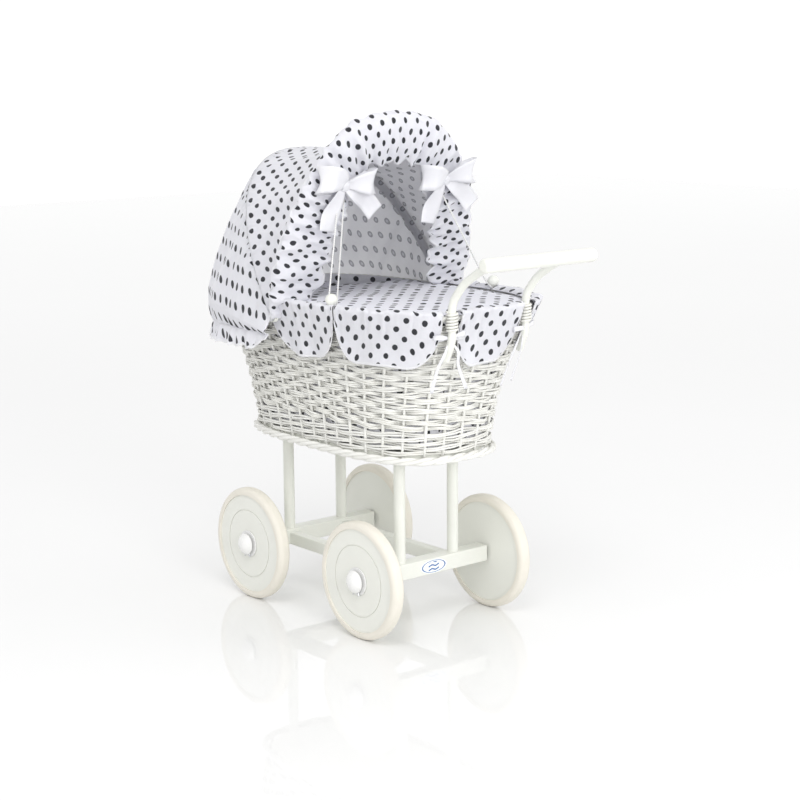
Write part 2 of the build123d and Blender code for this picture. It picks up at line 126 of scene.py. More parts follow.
def add(tree, kind, inputs=None, **props):
    """A shader node with its properties and inputs set; an input may be a socket to link."""
    made = tree.nodes.new("ShaderNode" + kind)
    for key, value in props.items():
        setattr(made, key, value)
    for key, value in (inputs or {}).items():
        if isinstance(value, bpy.types.NodeSocket):
            tree.links.new(value, made.inputs[key])
        else:
            made.inputs[key].default_value = value
    return made


def maths(tree, operation, a, b=0.0, clamp=False):
    return add(tree, "Math", {0: a, 1: b}, operation=operation, use_clamp=clamp).outputs[0]


def times(tree, a, b):
    return maths(tree, "MULTIPLY", a, b)


def plus(tree, a, b):
    return maths(tree, "ADD", a, b)


def apart(tree, a, b):
    """The distance between two values."""
    return maths(tree, "ABSOLUTE", maths(tree, "SUBTRACT", a, b))


def split(tree, vector):
    """The X, Y and Z sockets of a vector."""
    return add(tree, "SeparateXYZ", {0: vector}).outputs


def scaled(tree, vector, scale):
    return add(tree, "Mapping", {"Vector": vector, "Scale": scale}).outputs[0]


def cloth_place(tree):
    """Metres along a cloth, from its own UV layer, and the distance to its free edge."""
    edge = add(tree, "Attribute", attribute_name="hem").outputs["Fac"]
    return add(tree, "UVMap", uv_map="cloth").outputs[0], edge


def spread(tree, value, low, high, to_low, to_high, smooth=False):
    """value, from low to high, mapped to the range to_low to to_high."""
    kind = "SMOOTHSTEP" if smooth else "LINEAR"
    sockets = {"Value": value, "From Min": low, "From Max": high, "To Min": to_low, "To Max": to_high}
    return add(tree, "MapRange", sockets, interpolation_type=kind, clamp=True).outputs[0]


def blend_colour(tree, share, a, b):
    made = add(tree, "Mix", {"Factor": share}, data_type="RGBA")
    for index, value in ((6, a), (7, b)):
        if isinstance(value, bpy.types.NodeSocket):
            tree.links.new(value, made.inputs[index])
        else:
            made.inputs[index].default_value = (*value, 1)
    return made.outputs[2]


def noise(tree, vector, scale, detail=3.0):
    sockets = {"Vector": vector, "Scale": scale, "Detail": detail, "Roughness": 0.55}
    return add(tree, "TexNoise", sockets).outputs["Fac"]


def surface(name, **sockets):
    """A new material: its tree, its Principled shader and its object coordinates."""
    made = bpy.data.materials.new(name)
    made.use_nodes = True
    tree = made.node_tree
    shader = tree.nodes["Principled BSDF"]
    for key, value in sockets.items():
        shader.inputs[key.replace("_", " ")].default_value = value
    coordinates = add(tree, "TexCoord").outputs["Object"]
    return made, tree, shader, coordinates


def connect(tree, shader, colour, rough, relief=None):
    """Links a colour, a pattern with its two roughnesses, and a pattern with its depth in metres."""
    pattern, low, high = rough
    links = {"Base Color": colour, "Roughness": spread(tree, pattern, 0.3, 0.7, low, high)}
    if relief:
        sockets = {"Height": relief[0], "Distance": relief[1], "Strength": 1.0}
        links["Normal"] = add(tree, "Bump", sockets).outputs["Normal"]
    for key, value in links.items():
        tree.links.new(value, shader.inputs[key])


def painted(name, colour, worn, grain, streaks=(6, 6, 120)):
    """Satin paint with faint brush streaks and the grain of the wood under it."""
    made, tree, shader, at = surface(name, Coat_Weight=0.18, Coat_Roughness=0.3)
    streak = noise(tree, scaled(tree, at, streaks), 6.0)
    patch = noise(tree, at, 22.0)
    fine = noise(tree, at, 900.0, 2.0)
    tint = blend_colour(tree, spread(tree, patch, 0.3, 0.72, 0, 1), colour, worn)
    tint = blend_colour(tree, spread(tree, streak, 0.35, 0.7, 0, 0.5), tint, colour)
    height = plus(tree, times(tree, streak, 0.7), times(tree, fine, 0.3))
    connect(tree, shader, tint, (streak, 0.34, 0.5), (height, grain))
    return made


def wicker_paint():
    """Painted willow: each rod a slightly different white, duller where the paint thins."""
    made, tree, shader, at = surface("painted_wicker", Coat_Weight=0.12, Coat_Roughness=0.35)
    tone = add(tree, "Attribute", attribute_name="tone").outputs["Fac"]
    patch = noise(tree, at, 60.0)
    fine = noise(tree, at, 700.0, 4.0)
    tint = blend_colour(tree, tone, (0.77, 0.765, 0.72), (0.83, 0.828, 0.795))
    tint = blend_colour(tree, spread(tree, patch, 0.6, 0.78, 0, 0.4), tint, (0.72, 0.705, 0.64))
    connect(tree, shader, tint, (fine, 0.38, 0.6), (fine, 0.00035))
    return made


def rubber():
    made, tree, shader, at = surface("tyre", Specular_IOR_Level=0.35)
    dust = noise(tree, at, 35.0)
    fine = noise(tree, at, 1400.0, 2.0)
    tint = blend_colour(tree, spread(tree, dust, 0.35, 0.7, 0, 1), (0.8, 0.765, 0.685), (0.765, 0.735, 0.655))
    connect(tree, shader, tint, (dust, 0.52, 0.68), (fine, 0.00012))
    return made


def zinc():
    made, tree, shader, at = surface("bare_steel", Metallic=1.0)
    spangle = add(tree, "TexVoronoi", {"Vector": at, "Scale": 900.0}).outputs["Distance"]
    scratch = noise(tree, scaled(tree, at, (900, 60, 60)), 4.0)
    tint = blend_colour(tree, spread(tree, spangle, 0, 0.8, 0, 1), (0.66, 0.67, 0.68), (0.52, 0.53, 0.55))
    connect(tree, shader, tint, (scratch, 0.24, 0.42), (scratch, 0.00005))
    return made


def moulded_plastic():
    made, tree, shader, at = surface("white_plastic", Coat_Weight=0.3, Coat_Roughness=0.12)
    fine = noise(tree, at, 500.0)
    cloudy = noise(tree, at, 60.0)
    tint = blend_colour(tree, cloudy, (0.80, 0.80, 0.79), (0.84, 0.84, 0.83))
    connect(tree, shader, tint, (cloudy, 0.22, 0.32), (fine, 0.00006))
    return made


def label_print():
    """A plain oval label: a thin blue border and three short wavy bars."""
    _, _, centre, half = box_parts("badge")
    made, tree, shader, at = surface("badge_enamel", Coat_Weight=0.5, Coat_Roughness=0.1)
    parts = split(tree, add(tree, "Mapping", {"Vector": at, "Location": tuple(-centre)}).outputs[0])
    across = maths(tree, "DIVIDE", parts["X"], half[0])
    upward = maths(tree, "DIVIDE", parts["Z"], half[2])
    radius = maths(tree, "SQRT", plus(tree, times(tree, across, across), times(tree, upward, upward)))
    border = maths(tree, "LESS_THAN", apart(tree, radius, 0.86), 0.045)
    wave = times(tree, maths(tree, "SINE", times(tree, across, 12.0)), 0.09)
    lines = maths(tree, "SINE", times(tree, plus(tree, upward, wave), 11.0))
    bars = maths(tree, "GREATER_THAN", lines, 0.35)
    inside = maths(tree, "LESS_THAN", maths(tree, "ABSOLUTE", across), 0.4)
    bars = times(tree, bars, times(tree, inside, maths(tree, "LESS_THAN", radius, 0.7)))
    ink = maths(tree, "MAXIMUM", border, bars)
    grain = noise(tree, at, 400.0)
    paper = blend_colour(tree, grain, (0.88, 0.91, 0.93), (0.93, 0.95, 0.96))
    tint = blend_colour(tree, ink, paper, (0.05, 0.15, 0.38))
    connect(tree, shader, tint, (grain, 0.25, 0.35), (grain, 0.00004))
    return made


def weave_height(tree, uv, thread):
    """The plain weave of a cloth whose threads are that far apart."""
    turns = 2 * pi / thread
    parts = split(tree, uv)
    warp, weft = (maths(tree, "SINE", times(tree, parts[axis], turns)) for axis in "XY")
    return times(tree, warp, weft)


DOT_PITCH = 0.0172
DOT_R = 0.0038


def dot_distance(tree, uv):
    """Distance to the nearest printed dot's centre; the dots lie on a square net turned by 45 degrees."""
    turned = add(tree, "Mapping", {"Vector": uv, "Rotation": (0, 0, pi / 4)}).outputs[0]
    sockets = {"Vector": turned, "Scale": 1 / DOT_PITCH, "Randomness": 0.0}
    nearest = add(tree, "TexVoronoi", sockets, voronoi_dimensions="2D").outputs["Distance"]
    fuzz = times(tree, maths(tree, "SUBTRACT", noise(tree, uv, 900.0), 0.5), 0.0007)
    return plus(tree, times(tree, nearest, DOT_PITCH), fuzz)


HEM_WIDTH = 0.0031  # of the bias binding, up to its stitches


def cotton(name, cloth, dots=None, ring=False, hem=True):
    """Woven cotton, printed with dots or plain, with a white bias binding along its free edges."""
    made, tree, shader, _ = surface(
        name, Sheen_Weight=0.15, Sheen_Roughness=0.6, Specular_IOR_Level=0.25,
        Subsurface_Weight=0.7, Subsurface_Radius=(1, 1, 1), Subsurface_Scale=0.004,
    )
    uv, edge = cloth_place(tree)
    slub = noise(tree, uv, 160.0, 4.0)
    tint = blend_colour(tree, spread(tree, slub, 0.3, 0.75, 0, 1), cloth, tuple(0.965 * c for c in cloth))
    if dots:
        away = dot_distance(tree, uv)
        printed = spread(tree, away, DOT_R - 0.0003, DOT_R + 0.0003, 1.0, 0.0)
        if ring:
            centre = spread(tree, away, 0.0012, 0.0022, 0.45, 0.0)
            printed = maths(tree, "SUBTRACT", printed, centre, clamp=True)
    height = plus(tree, times(tree, weave_height(tree, uv, 0.0009), 0.3), slub)
    if hem:
        binding = spread(tree, edge, HEM_WIDTH - 0.0001, HEM_WIDTH + 0.0005, 1.0, 0.0)
        if dots:
            printed = times(tree, printed, maths(tree, "SUBTRACT", 1.0, binding))
        height = plus(tree, height, times(tree, binding, 2.5))
        along = maths(tree, "SINE", times(tree, split(tree, uv)["X"], 2500.0))
        stitch = maths(tree, "GREATER_THAN", along, -0.2)
        line = maths(tree, "LESS_THAN", apart(tree, edge, HEM_WIDTH), 0.0004)
        height = maths(tree, "SUBTRACT", height, times(tree, times(tree, stitch, line), 1.2))
        tint = blend_colour(tree, times(tree, binding, 0.5), tint, (0.86, 0.86, 0.90))
    if dots:
        tint = blend_colour(tree, printed, tint, dots)
    connect(tree, shader, tint, (slub, 0.78, 0.92), (height, 0.00012))
    return made


def satin():
    finish = {"Sheen_Weight": 0.3, "Anisotropic": 0.4, "Coat_Weight": 0.1, "Coat_Roughness": 0.35}
    made, tree, shader, _ = surface("satin_ribbon", **finish)
    uv, edge = cloth_place(tree)
    warp = maths(tree, "SINE", times(tree, split(tree, uv)["X"], 9000.0))
    selvedge = spread(tree, edge, 0.0008, 0.0014, 1.0, 0.0)
    cloudy = noise(tree, uv, 90.0)
    tint = blend_colour(tree, cloudy, (0.74, 0.74, 0.775), (0.78, 0.78, 0.81))
    height = plus(tree, times(tree, warp, 0.25), selvedge)
    connect(tree, shader, tint, (cloudy, 0.26, 0.4), (height, 0.00008))
    return made


def cord_cotton():
    """A thin laid cord: its strands wind round it."""
    made, tree, shader, at = surface("white_cord", Sheen_Weight=0.3, Sheen_Roughness=0.5)
    parts = split(tree, add(tree, "UVMap", uv_map="cloth").outputs[0])
    lay = plus(tree, times(tree, parts["Y"], 2400.0), times(tree, parts["X"], 2 * pi))
    strands = maths(tree, "SINE", lay)
    fluff = noise(tree, at, 1500.0)
    # the colour darkens in the grooves between the strands: painted shade
    tint = blend_colour(tree, spread(tree, strands, -1, 0.2, 0, 1), (0.70, 0.70, 0.69), (0.84, 0.84, 0.83))
    height = plus(tree, strands, times(tree, fluff, 0.6))
    connect(tree, shader, tint, (fluff, 0.7, 0.9), (height, 0.0002))
    return made


WHITE_CLOTH = (0.735, 0.735, 0.80)
# the same cloth's inner face, coloured lighter than its outer face: painted light standing in for the light inside
# the shaded hood
INNER_CLOTH_PAINTED_LIGHT = (0.86, 0.86, 0.91)


def make_materials():
    white, shade = (0.79, 0.80, 0.745), (0.76, 0.765, 0.71)
    return {
        "painted_wood": painted("painted_wood", white, shade, 0.0003),
        "disc_paint": painted("disc_paint", (0.80, 0.805, 0.75), (0.775, 0.78, 0.725), 0.00025, (20, 20, 20)),
        "painted_wicker": wicker_paint(),
        "tyre": rubber(),
        "bare_steel": zinc(),
        "white_plastic": moulded_plastic(),
        "badge_enamel": label_print(),
        "dotted_cotton": cotton("dotted_cotton", WHITE_CLOTH, (0.022, 0.022, 0.028)),
        "dotted_inside": cotton("dotted_inside", INNER_CLOTH_PAINTED_LIGHT, (0.36, 0.36, 0.39), ring=True),
        "lining_cotton": cotton("lining_cotton", (0.84, 0.84, 0.87), hem=False),
        "mattress_ticking": cotton("mattress_ticking", (0.86, 0.85, 0.82), hem=False),
        "satin_ribbon": satin(),
        "white_cord": cord_cotton(),
    }


# ---------------------------------------------------------------- mesh helpers


def link(made):
    bpy.context.scene.collection.objects.link(made)
    return made


def set_uv(data, uv):
    """Lays a UV value for each point into the cloth layer."""
    corner = np.empty(len(data.loops), np.int32)
    data.loops.foreach_get("vertex_index", corner)
    layer = data.uv_layers.new(name="cloth")
    layer.data.foreach_set("uv", np.asarray(uv, np.float32)[corner].ravel())


def set_values(data, key, values):
    made = data.attributes.new(key, "FLOAT", "POINT")
    made.data.foreach_set("value", np.asarray(values, np.float32).ravel())


def make_mesh(name, points, faces, materials, uv=None, attributes=None, smooth=True):
    """An object from points, faces, and values for each point."""
    data = bpy.data.meshes.new(name)
    faces = faces.tolist() if isinstance(faces, np.ndarray) else faces
    data.from_pydata(np.asarray(points).tolist(), [], faces)
    for key, values in (attributes or {}).items():
        set_values(data, key, values)
    if uv is not None:
        set_uv(data, uv)
    data.polygons.foreach_set("use_smooth", [smooth] * len(data.polygons))
    for item in materials:
        data.materials.append(item)
    data.update()
    return link(bpy.data.objects.new(name, data))


def box_parts(node):
    """The low and high corners of a node's box, its middle and its half size."""
    low, high = (np.array(corner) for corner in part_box(node))
    return low, high, (low + high) / 2, (high - low) / 2


def unit(vectors):
    return vectors / np.linalg.norm(vectors, axis=-1, keepdims=True)


def grid_faces(rows, columns, flip=False):
    """Quads of a grid whose points are numbered row by row."""
    i, j = np.meshgrid(np.arange(rows - 1), np.arange(columns - 1), indexing="ij")
    first = (i * columns + j).ravel()
    quads = np.stack([first, first + 1, first + columns + 1, first + columns], 1)
    return quads[:, ::-1] if flip else quads


def thicken(piece, thickness, inner=0):
    """Gives a sheet its thickness, on the side away from its normals; inner is the slot step of that side."""
    solid = piece.modifiers.new("thickness", "SOLIDIFY")
    solid.thickness = thickness
    solid.offset = -1
    solid.material_offset = inner
    return piece


def cloth_piece(name, points, uv, hem, materials, thickness=0.0009, flip=False):
    """A sheet from a grid of points (rows, columns, 3), with metres along the cloth as its UV."""
    faces = grid_faces(*points.shape[:2], flip)
    piece = make_mesh(name, points.reshape(-1, 3), faces, materials, uv.reshape(-1, 2), {"hem": hem})
    return thicken(piece, thickness, len(materials) - 1)


def surface_area(points):
    """Area of a grid of points."""
    across = points[1:, :-1] - points[:-1, :-1]
    along = points[:-1, 1:] - points[:-1, :-1]
    return float(np.linalg.norm(np.cross(across, along), axis=2).sum())


def smoothstep(x, low, high):
    t = np.clip((x - low) / (high - low), 0, 1)
    return t * t * (3 - 2 * t)


def ripple(u, v, wavelength, seed, wander=1.5):
    """An uneven wave along u, about 1 high, whose crests wander along v. The same for the same seed."""
    rng = np.random.default_rng(seed)
    total = 0
    for stretch in (0.61, 0.83, 1.0, 1.29, 1.83):
        phase, drift, weight = rng.uniform(0, 2 * pi), rng.uniform(-wander, wander), rng.uniform(0.5, 1.0)
        total = total + weight * np.sin(2 * pi * u / (wavelength * stretch) + phase + drift * v)
    return total / 2.2


def smooth_curve(points, shares):
    """Points at shares 0 to 1 of a Catmull-Rom curve through the given ones."""
    points = np.asarray(points, float)
    padded = np.concatenate([[2 * points[0] - points[1]], points, [2 * points[-1] - points[-2]]])
    place = np.clip(np.asarray(shares), 0, 1) * (len(points) - 1)
    i = np.minimum(place.astype(int), len(points) - 2)
    t = (place - i).reshape(-1, *[1] * (points.ndim - 1))
    a, b, c, d = padded[i], padded[i + 1], padded[i + 2], padded[i + 3]
    return 0.5 * (2 * b + (c - a) * t + (2 * a - 5 * b + 4 * c - d) * t**2 + (3 * b - a - 3 * c + d) * t**3)


def lengths_along(points, axis=0):
    """Distance along a line of points, or along each line of a grid that runs that way, from 0."""
    steps = np.linalg.norm(np.diff(points, axis=axis), axis=-1)
    return np.concatenate([np.zeros_like(np.take(steps, [0], axis)), np.cumsum(steps, axis)], axis)


class Rods:
    """Collects round rods and turns them into one mesh."""

    def __init__(self, sides=6):
        self.sides = sides
        self.points, self.faces, self.tones, self.uvs = [], [], [], []
        self.count = 0

    def add(self, line, radius, outward, closed=False, tone=0.5):
        """One rod along a line of points; outward is a direction across it, for each point or for all."""
        line = np.asarray(line, float)
        tangent = unit(np.roll(line, -1, 0) - np.roll(line, 1, 0) if closed else np.gradient(line, axis=0))
        across = unit(np.cross(tangent, outward))
        third = np.cross(tangent, across)
        turn = 2 * pi * np.arange(self.sides) / self.sides
        radius = np.broadcast_to(np.asarray(radius, float).reshape(-1, 1, 1), (len(line), 1, 1))
        ring = np.cos(turn)[None, :, None] * across[:, None] + np.sin(turn)[None, :, None] * third[:, None]
        n, k = len(line), self.sides
        i, j = np.meshgrid(np.arange(n if closed else n - 1), np.arange(k), indexing="ij")
        i2, j2 = (i + 1) % n, (j + 1) % k
        quads = np.stack([i * k + j, i2 * k + j, i2 * k + j2, i * k + j2], -1).reshape(-1, 4) + self.count
        self.faces += quads.tolist()
        if not closed:
            self.faces.append((self.count + np.arange(k)).tolist())
            self.faces.append((self.count + (n - 1) * k + np.arange(k)[::-1]).tolist())
        self.points.append((line[:, None] + radius * ring).reshape(-1, 3))
        self.tones.append(np.full(n * k, tone))
        uv = np.stack(np.broadcast_arrays(turn[None] / (2 * pi), lengths_along(line)[:, None]), -1)
        self.uvs.append(uv.reshape(-1, 2))
        self.count += n * k

    def build(self, name, material):
        points, uvs, tones = (np.concatenate(part) for part in (self.points, self.uvs, self.tones))
        return make_mesh(name, points, self.faces, [material], uvs, {"tone": tones})


# ---------------------------------------------------------------- the basket's shape

BASKET_Y = 0.031
BASKET_EXPONENT = 3.19
BOTTOM_Z, BASKET_HEIGHT = 0.2155, 0.180
BOTTOM_HALF = (0.0916, 0.172)
TOP_HALF = (0.132, 0.223)
FLARE_LAG = 0.66
RIM_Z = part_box("basket_rim_border")[1][2]


def superellipse(angle, a, b, exponent):
    """Distance from the middle of a superellipse of half sizes a and b to its edge, at an angle."""
    c, s = np.abs(np.cos(angle)) / a, np.abs(np.sin(angle)) / b
    return (c**exponent + s**exponent) ** (-1 / exponent)


def superellipse_turns():
    """Angles in plan that go evenly round the basket's wall, from the middle of the handle end."""
    angle = np.linspace(-pi / 2, 1.5 * pi, 4001)
    half = [(b + t) / 2 for b, t in zip(BOTTOM_HALF, TOP_HALF)]
    r = superellipse(angle, *half, BASKET_EXPONENT)
    way = lengths_along(np.stack([r * np.cos(angle), r * np.sin(angle)], 1))
    return way / way[-1], angle


WAY, WAY_ANGLE = superellipse_turns()


def wall(share, z, out):
    """A point at a share of the way round the basket, at height z, out from the woven wall's outer face."""
    share, z, out = np.broadcast_arrays(np.asarray(share, float), z, out)
    angle = np.interp(share % 1, WAY, WAY_ANGLE)
    s = (z - BOTTOM_Z) / BASKET_HEIGHT
    flare = s - FLARE_LAG * s * (1 - s)
    a, b = (low + flare * (high - low) + out for low, high in zip(BOTTOM_HALF, TOP_HALF))
    r = superellipse(angle, a, b, BASKET_EXPONENT)
    return np.stack([r * np.cos(angle), BASKET_Y + r * np.sin(angle), z], -1)


def outwards(share):
    """The direction out of the wall, in plan."""
    step = 1e-4
    along = wall(share + step, 0.35, 0) - wall(share - step, 0.35, 0)
    return unit(np.stack([along[..., 1], -along[..., 0], np.zeros(along.shape[:-1])], -1))


def share_at_y(y, side):
    """The share of the way round where the side wall passes y."""
    shares = np.linspace(0, 0.5, 3001) if side > 0 else np.linspace(1, 0.5, 3001)
    return float(np.interp(y, wall(shares, 0.39, 0)[:, 1], shares))


def share_at_x(x):
    """The share of the way round where the handle end's wall passes x."""
    shares = np.linspace(-0.12, 0.12, 1001)
    return float(np.interp(x, wall(shares, 0.39, 0)[:, 0], shares))


ROUND = lengths_along(wall(np.linspace(0, 1, 2001), 0.38, 0.0))[-1]


# ---------------------------------------------------------------- cords

ROW_SCALE = 0.001
RIBBON_R = 0.168
RIBBON_X, KNOB_X, KNOB_Y = 0.078, 0.1269, -0.057
REAR_ANGLE, FRONT_ANGLE = radians(57.0), radians(105.2)  # of the two hoops, up from +Y


def hood_cord_route(side):
    """The same points as the cord's solid: from the bow, round the knob's neck and back."""
    lift = 0.0044 + 0.006 + 0.003
    top_y = HINGE_Y + RIBBON_R * cos(FRONT_ANGLE) - lift * sin(FRONT_ANGLE)
    top_z = HINGE_Z + RIBBON_R * sin(FRONT_ANGLE) + lift * cos(FRONT_ANGLE)
    toward = Vector((side * RIBBON_X - side * KNOB_X, top_y - KNOB_Y, 0)).normalized()
    across = Vector((-toward.y, toward.x, 0))
    knob = Vector((side * KNOB_X, KNOB_Y, 0))
    local = [(9, 5, 409.5), (1, 6, 401.3), (-5, 0, 401.1), (1, -6, 401.3), (9, -5, 409.5)]
    loop = [knob + ROW_SCALE * (toward * u + across * v) + Vector((0, 0, ROW_SCALE * z)) for u, v, z in local]
    tops = [Vector((side * RIBBON_X, top_y, top_z - 0.018)) + across * v for v in (0.0035, -0.0035)]
    near = [end + (tip - end).normalized() * 0.012 for end, tip in ((loop[0], tops[0]), (loop[-1], tops[1]))]
    return [tops[0], near[0], *loop, near[1], tops[1]]


def spline_points(name, route):
    """Points along the smooth NURBS line whose control points are the route."""
    data = bpy.data.curves.new(name, "CURVE")
    data.dimensions = "3D"
    line = data.splines.new("NURBS")
    line.points.add(len(route) - 1)
    for point, at in zip(line.points, route):
        point.co = (*at, 1)
    line.order_u = 3
    line.use_endpoint_u = True
    data.resolution_u = 14
    holder = link(bpy.data.objects.new(name, data))
    mesh = bpy.data.meshes.new_from_object(holder)
    points = np.array([v.co for v in mesh.vertices])
    bpy.data.objects.remove(holder)
    bpy.data.meshes.remove(mesh)
    return points


CORD_D = 0.0018


def make_hood_cords(materials):
    for side_name, side in SIDES.items():
        name = f"hood_cord_{side_name}"
        line = spline_points(name + "_line", hood_cord_route(side))
        rods = Rods(sides=8)
        rods.add(line, CORD_D / 2, (side, 0.05, 0.02))
        piece = rods.build("laid_" + name, materials["white_cord"])
        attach(piece, "root")
        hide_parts(name)
        length = float(lengths_along(line)[-1])
        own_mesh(piece)
        print(name, "length", round(length, 4))


# ---------------------------------------------------------------- wicker

STAKES = 36
WEAVE_OUT = -0.0044
SWING = 0.0027


def closed_wander(share, cycles, seed, size):
    """A small uneven offset that closes on itself after one round."""
    rng = np.random.default_rng(seed)
    total = 0
    for _ in range(3):
        n = int(rng.integers(*cycles))
        total = total + rng.uniform(0.4, 1) * np.sin(2 * pi * n * share + rng.uniform(0, 2 * pi))
    return size * total / 1.5


def make_wicker(materials):
    rng = np.random.default_rng(11)
    paint = materials["painted_wicker"]

    stakes = Rods(sides=7)
    heights = np.linspace(0.217, 0.3935, 12)
    for k in range(STAKES):
        shift = rng.uniform(-0.0012, 0.0012)
        line = wall(k / STAKES + shift, heights, WEAVE_OUT)
        outward = outwards(np.full(12, k / STAKES))
        stakes.add(line, rng.uniform(0.0018, 0.0021), outward, tone=rng.uniform(0.4, 1))
    piece = stakes.build("wicker_stakes", paint)
    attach(piece, "root")

    share = np.linspace(0, 1, STAKES * 9, endpoint=False)
    weave = None
    rows = np.arange(0.2585, 0.3895, 0.0069)
    for index, z in enumerate(rows):
        if index % 10 == 0:
            weave = Rods(sides=6)
        wave = np.clip(1.25 * np.cos(pi * STAKES * share), -1, 1) * (1 if index % 2 else -1)
        slant = rng.uniform(-0.0009, 0.0009) * np.sin(pi * STAKES * share)
        slant = slant + closed_wander(share, (5, 19), 100 + index, 0.0007)
        for rod in (-1, 0, 1):
            seed = 1000 + 3 * index + rod
            twist = closed_wander(share, (12, 30), seed, 0.0007)
            out = WEAVE_OUT + SWING * wave + closed_wander(share, (20, 50), seed + 500, 0.0004)
            line = wall(share, z + slant + twist + rod * 0.0022, out)
            weave.add(line, rng.uniform(0.0012, 0.0014), outwards(share), closed=True, tone=rng.uniform(0, 1))
        if index % 10 == 9 or index == len(rows) - 1:
            piece = weave.build(f"wicker_weave_{index // 10}", paint)
            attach(piece, "root")
            if index < 10:
                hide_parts("basket_wall")

    waling = Rods(sides=6)
    for index, z in enumerate(np.arange(0.2265, 0.2545, 0.0056)):
        for rod in (0, 1):
            phase = 2 * pi * (STAKES * share + index) / 3
            out = WEAVE_OUT + SWING * np.clip(0.45 + 1.3 * np.cos(phase), -1, 1)
            rise = 0.0011 * np.sin(phase) + closed_wander(share, (9, 24), 300 + 2 * index + rod, 0.0005)
            line = wall(share, z + rise + 0.0027 * rod, out)
            waling.add(line, 0.00135, outwards(share), closed=True, tone=rng.uniform(0.2, 1))
    piece = waling.build("wicker_waling", paint)
    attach(piece, "root")

    for name, z, out, turns, helix, radius in (
        ("foot_border", 0.2190, 0.0010, 14, 0.0026, 0.0027),
        ("rim_border", 0.3940, -0.0035, 36, 0.0021, 0.0021),
    ):
        border = Rods(sides=7)
        way = np.linspace(0, 1, turns * 24, endpoint=False)
        for strand in range(3):
            turn = 2 * pi * (turns * way + strand / 3)
            line = wall(way, z + helix * np.sin(turn), out + helix * np.cos(turn))
            border.add(line, radius, outwards(way), closed=True, tone=0.4 + 0.25 * strand)
        piece = border.build("wicker_" + name, paint)
        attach(piece, "root")
        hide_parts("basket_" + name)

    for side_name in SIDES:
        low, high, middle, half = box_parts(f"arm_binding_{side_name}")
        turns = 6.5
        turn = np.linspace(0, 2 * pi * turns, int(turns * 18))
        rise = np.linspace(low[2] + 0.0016, high[2] - 0.0016, len(turn))
        reach = half[0] - 0.0014
        line = np.stack([middle[0] + reach * np.cos(turn), middle[1] + reach * np.sin(turn), rise], -1)
        coil = Rods(sides=7)
        coil.add(line, 0.00145, (0, 0, 1), tone=0.0)
        piece = coil.build(f"cane_binding_{side_name}", paint)
        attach(piece, "root")
        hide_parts(f"arm_binding_{side_name}")


# ---------------------------------------------------------------- skirt and lining

ARM_X = 0.057
HEM_AWAY = 0.05  # a hem value that is off the binding


def hem_distance(points, sides):
    """Distance in the cloth from each grid point to the named free edges: top, bottom, start, end."""
    away = np.full(points.shape[:2], HEM_AWAY)
    down, along = lengths_along(points, 1), lengths_along(points)
    measured = {"top": down, "bottom": down[:, -1:] - down, "start": along, "end": along[-1:] - along}
    for side in sides:
        away = np.minimum(away, measured[side])
    return away


def eased(values):
    """Averages each value with its neighbours in the rows before and after."""
    reach = 12
    padded = np.pad(values, ((reach, reach), (0, 0)), mode="edge")
    return sum(padded[k : k + len(values)] for k in range(2 * reach + 1)) / (2 * reach + 1)


def cloth_uv(points, fullness=1.0, shift=(0.0, 0.0)):
    """Metres along the cloth for each grid point.

    fullness is the cloth's length over the drawn length: above 1 for gathers; below 1 the print is stretched.
    """
    middle = points[:, points.shape[1] // 2]
    u = lengths_along(middle) * fullness + shift[0]
    v = lengths_along(points, 1)
    return np.stack([np.broadcast_to(u[:, None], v.shape), eased(v) + shift[1]], -1)


FOLD_SHARE = 0.16  # of a flap's height, which lies over the rim


def skirt_flap(name, start, end, low_z, seed, materials, corner=(0.034, 0.046)):
    """A petal of skirt from start to end of the way round: over the rim, then down to a rounded bottom."""
    length = abs(end - start) * ROUND
    rows, columns = max(30, int(length / 0.0022)), 44
    share = np.linspace(start, end, rows)[:, None]
    along = np.abs(share - start) * ROUND
    edge = np.minimum(along, length - along)
    lift = corner[1] * (1 - np.sqrt(1 - (1 - np.clip(edge / corner[0], 0, 1)) ** 2))
    v = np.linspace(0, 1, columns)[None, :]
    bottom = low_z + lift + 0.0022 * ripple(along, 0, 0.11, seed)
    angle = pi * smoothstep(v, 0, FOLD_SHARE)
    fold_z, fold_r = RIM_Z + 0.0010, 0.0076
    down = np.clip((v - FOLD_SHARE) / (1 - FOLD_SHARE), 0, 1)
    z = np.where(v < FOLD_SHARE, fold_z + 0.0048 * np.sin(angle), fold_z + (bottom - fold_z) * down)
    out = np.where(v < FOLD_SHARE, -0.0033 - fold_r * np.cos(angle), -0.0033 + fold_r + 0.0024 * down)
    out = np.broadcast_to(out, z.shape).copy()
    puff = smoothstep(v, 0.02, 0.12) * (1 - smoothstep(v, 0.3, 0.75))
    hang = smoothstep(v, 0.3, 1.0)
    sway = 0.6 + ripple(along, 2 * v, 0.062, seed + 2)
    out += 0.0011 * puff * (1 + ripple(along, v, 0.013, seed + 1)) + 0.0030 * hang * sway
    crest = smoothstep(v, 0, 0.06) * (1 - smoothstep(v, FOLD_SHARE, 0.34))
    z = z + crest * (0.0010 * ripple(along, v, 0.016, seed + 3) + 0.0012 * ripple(along, v, 0.055, seed + 4))
    points = wall(share, z, np.maximum(out, -0.0112))
    hem = hem_distance(points, ("bottom", "start", "end"))
    hem = np.where(v < FOLD_SHARE + 0.01, HEM_AWAY, hem)
    uv = cloth_uv(points, 1.12, (0.013 * seed, 0.007 * seed))
    piece = cloth_piece(name, points, uv, hem, [materials["dotted_cotton"]], flip=end < start)
    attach(piece, "root")
    return piece


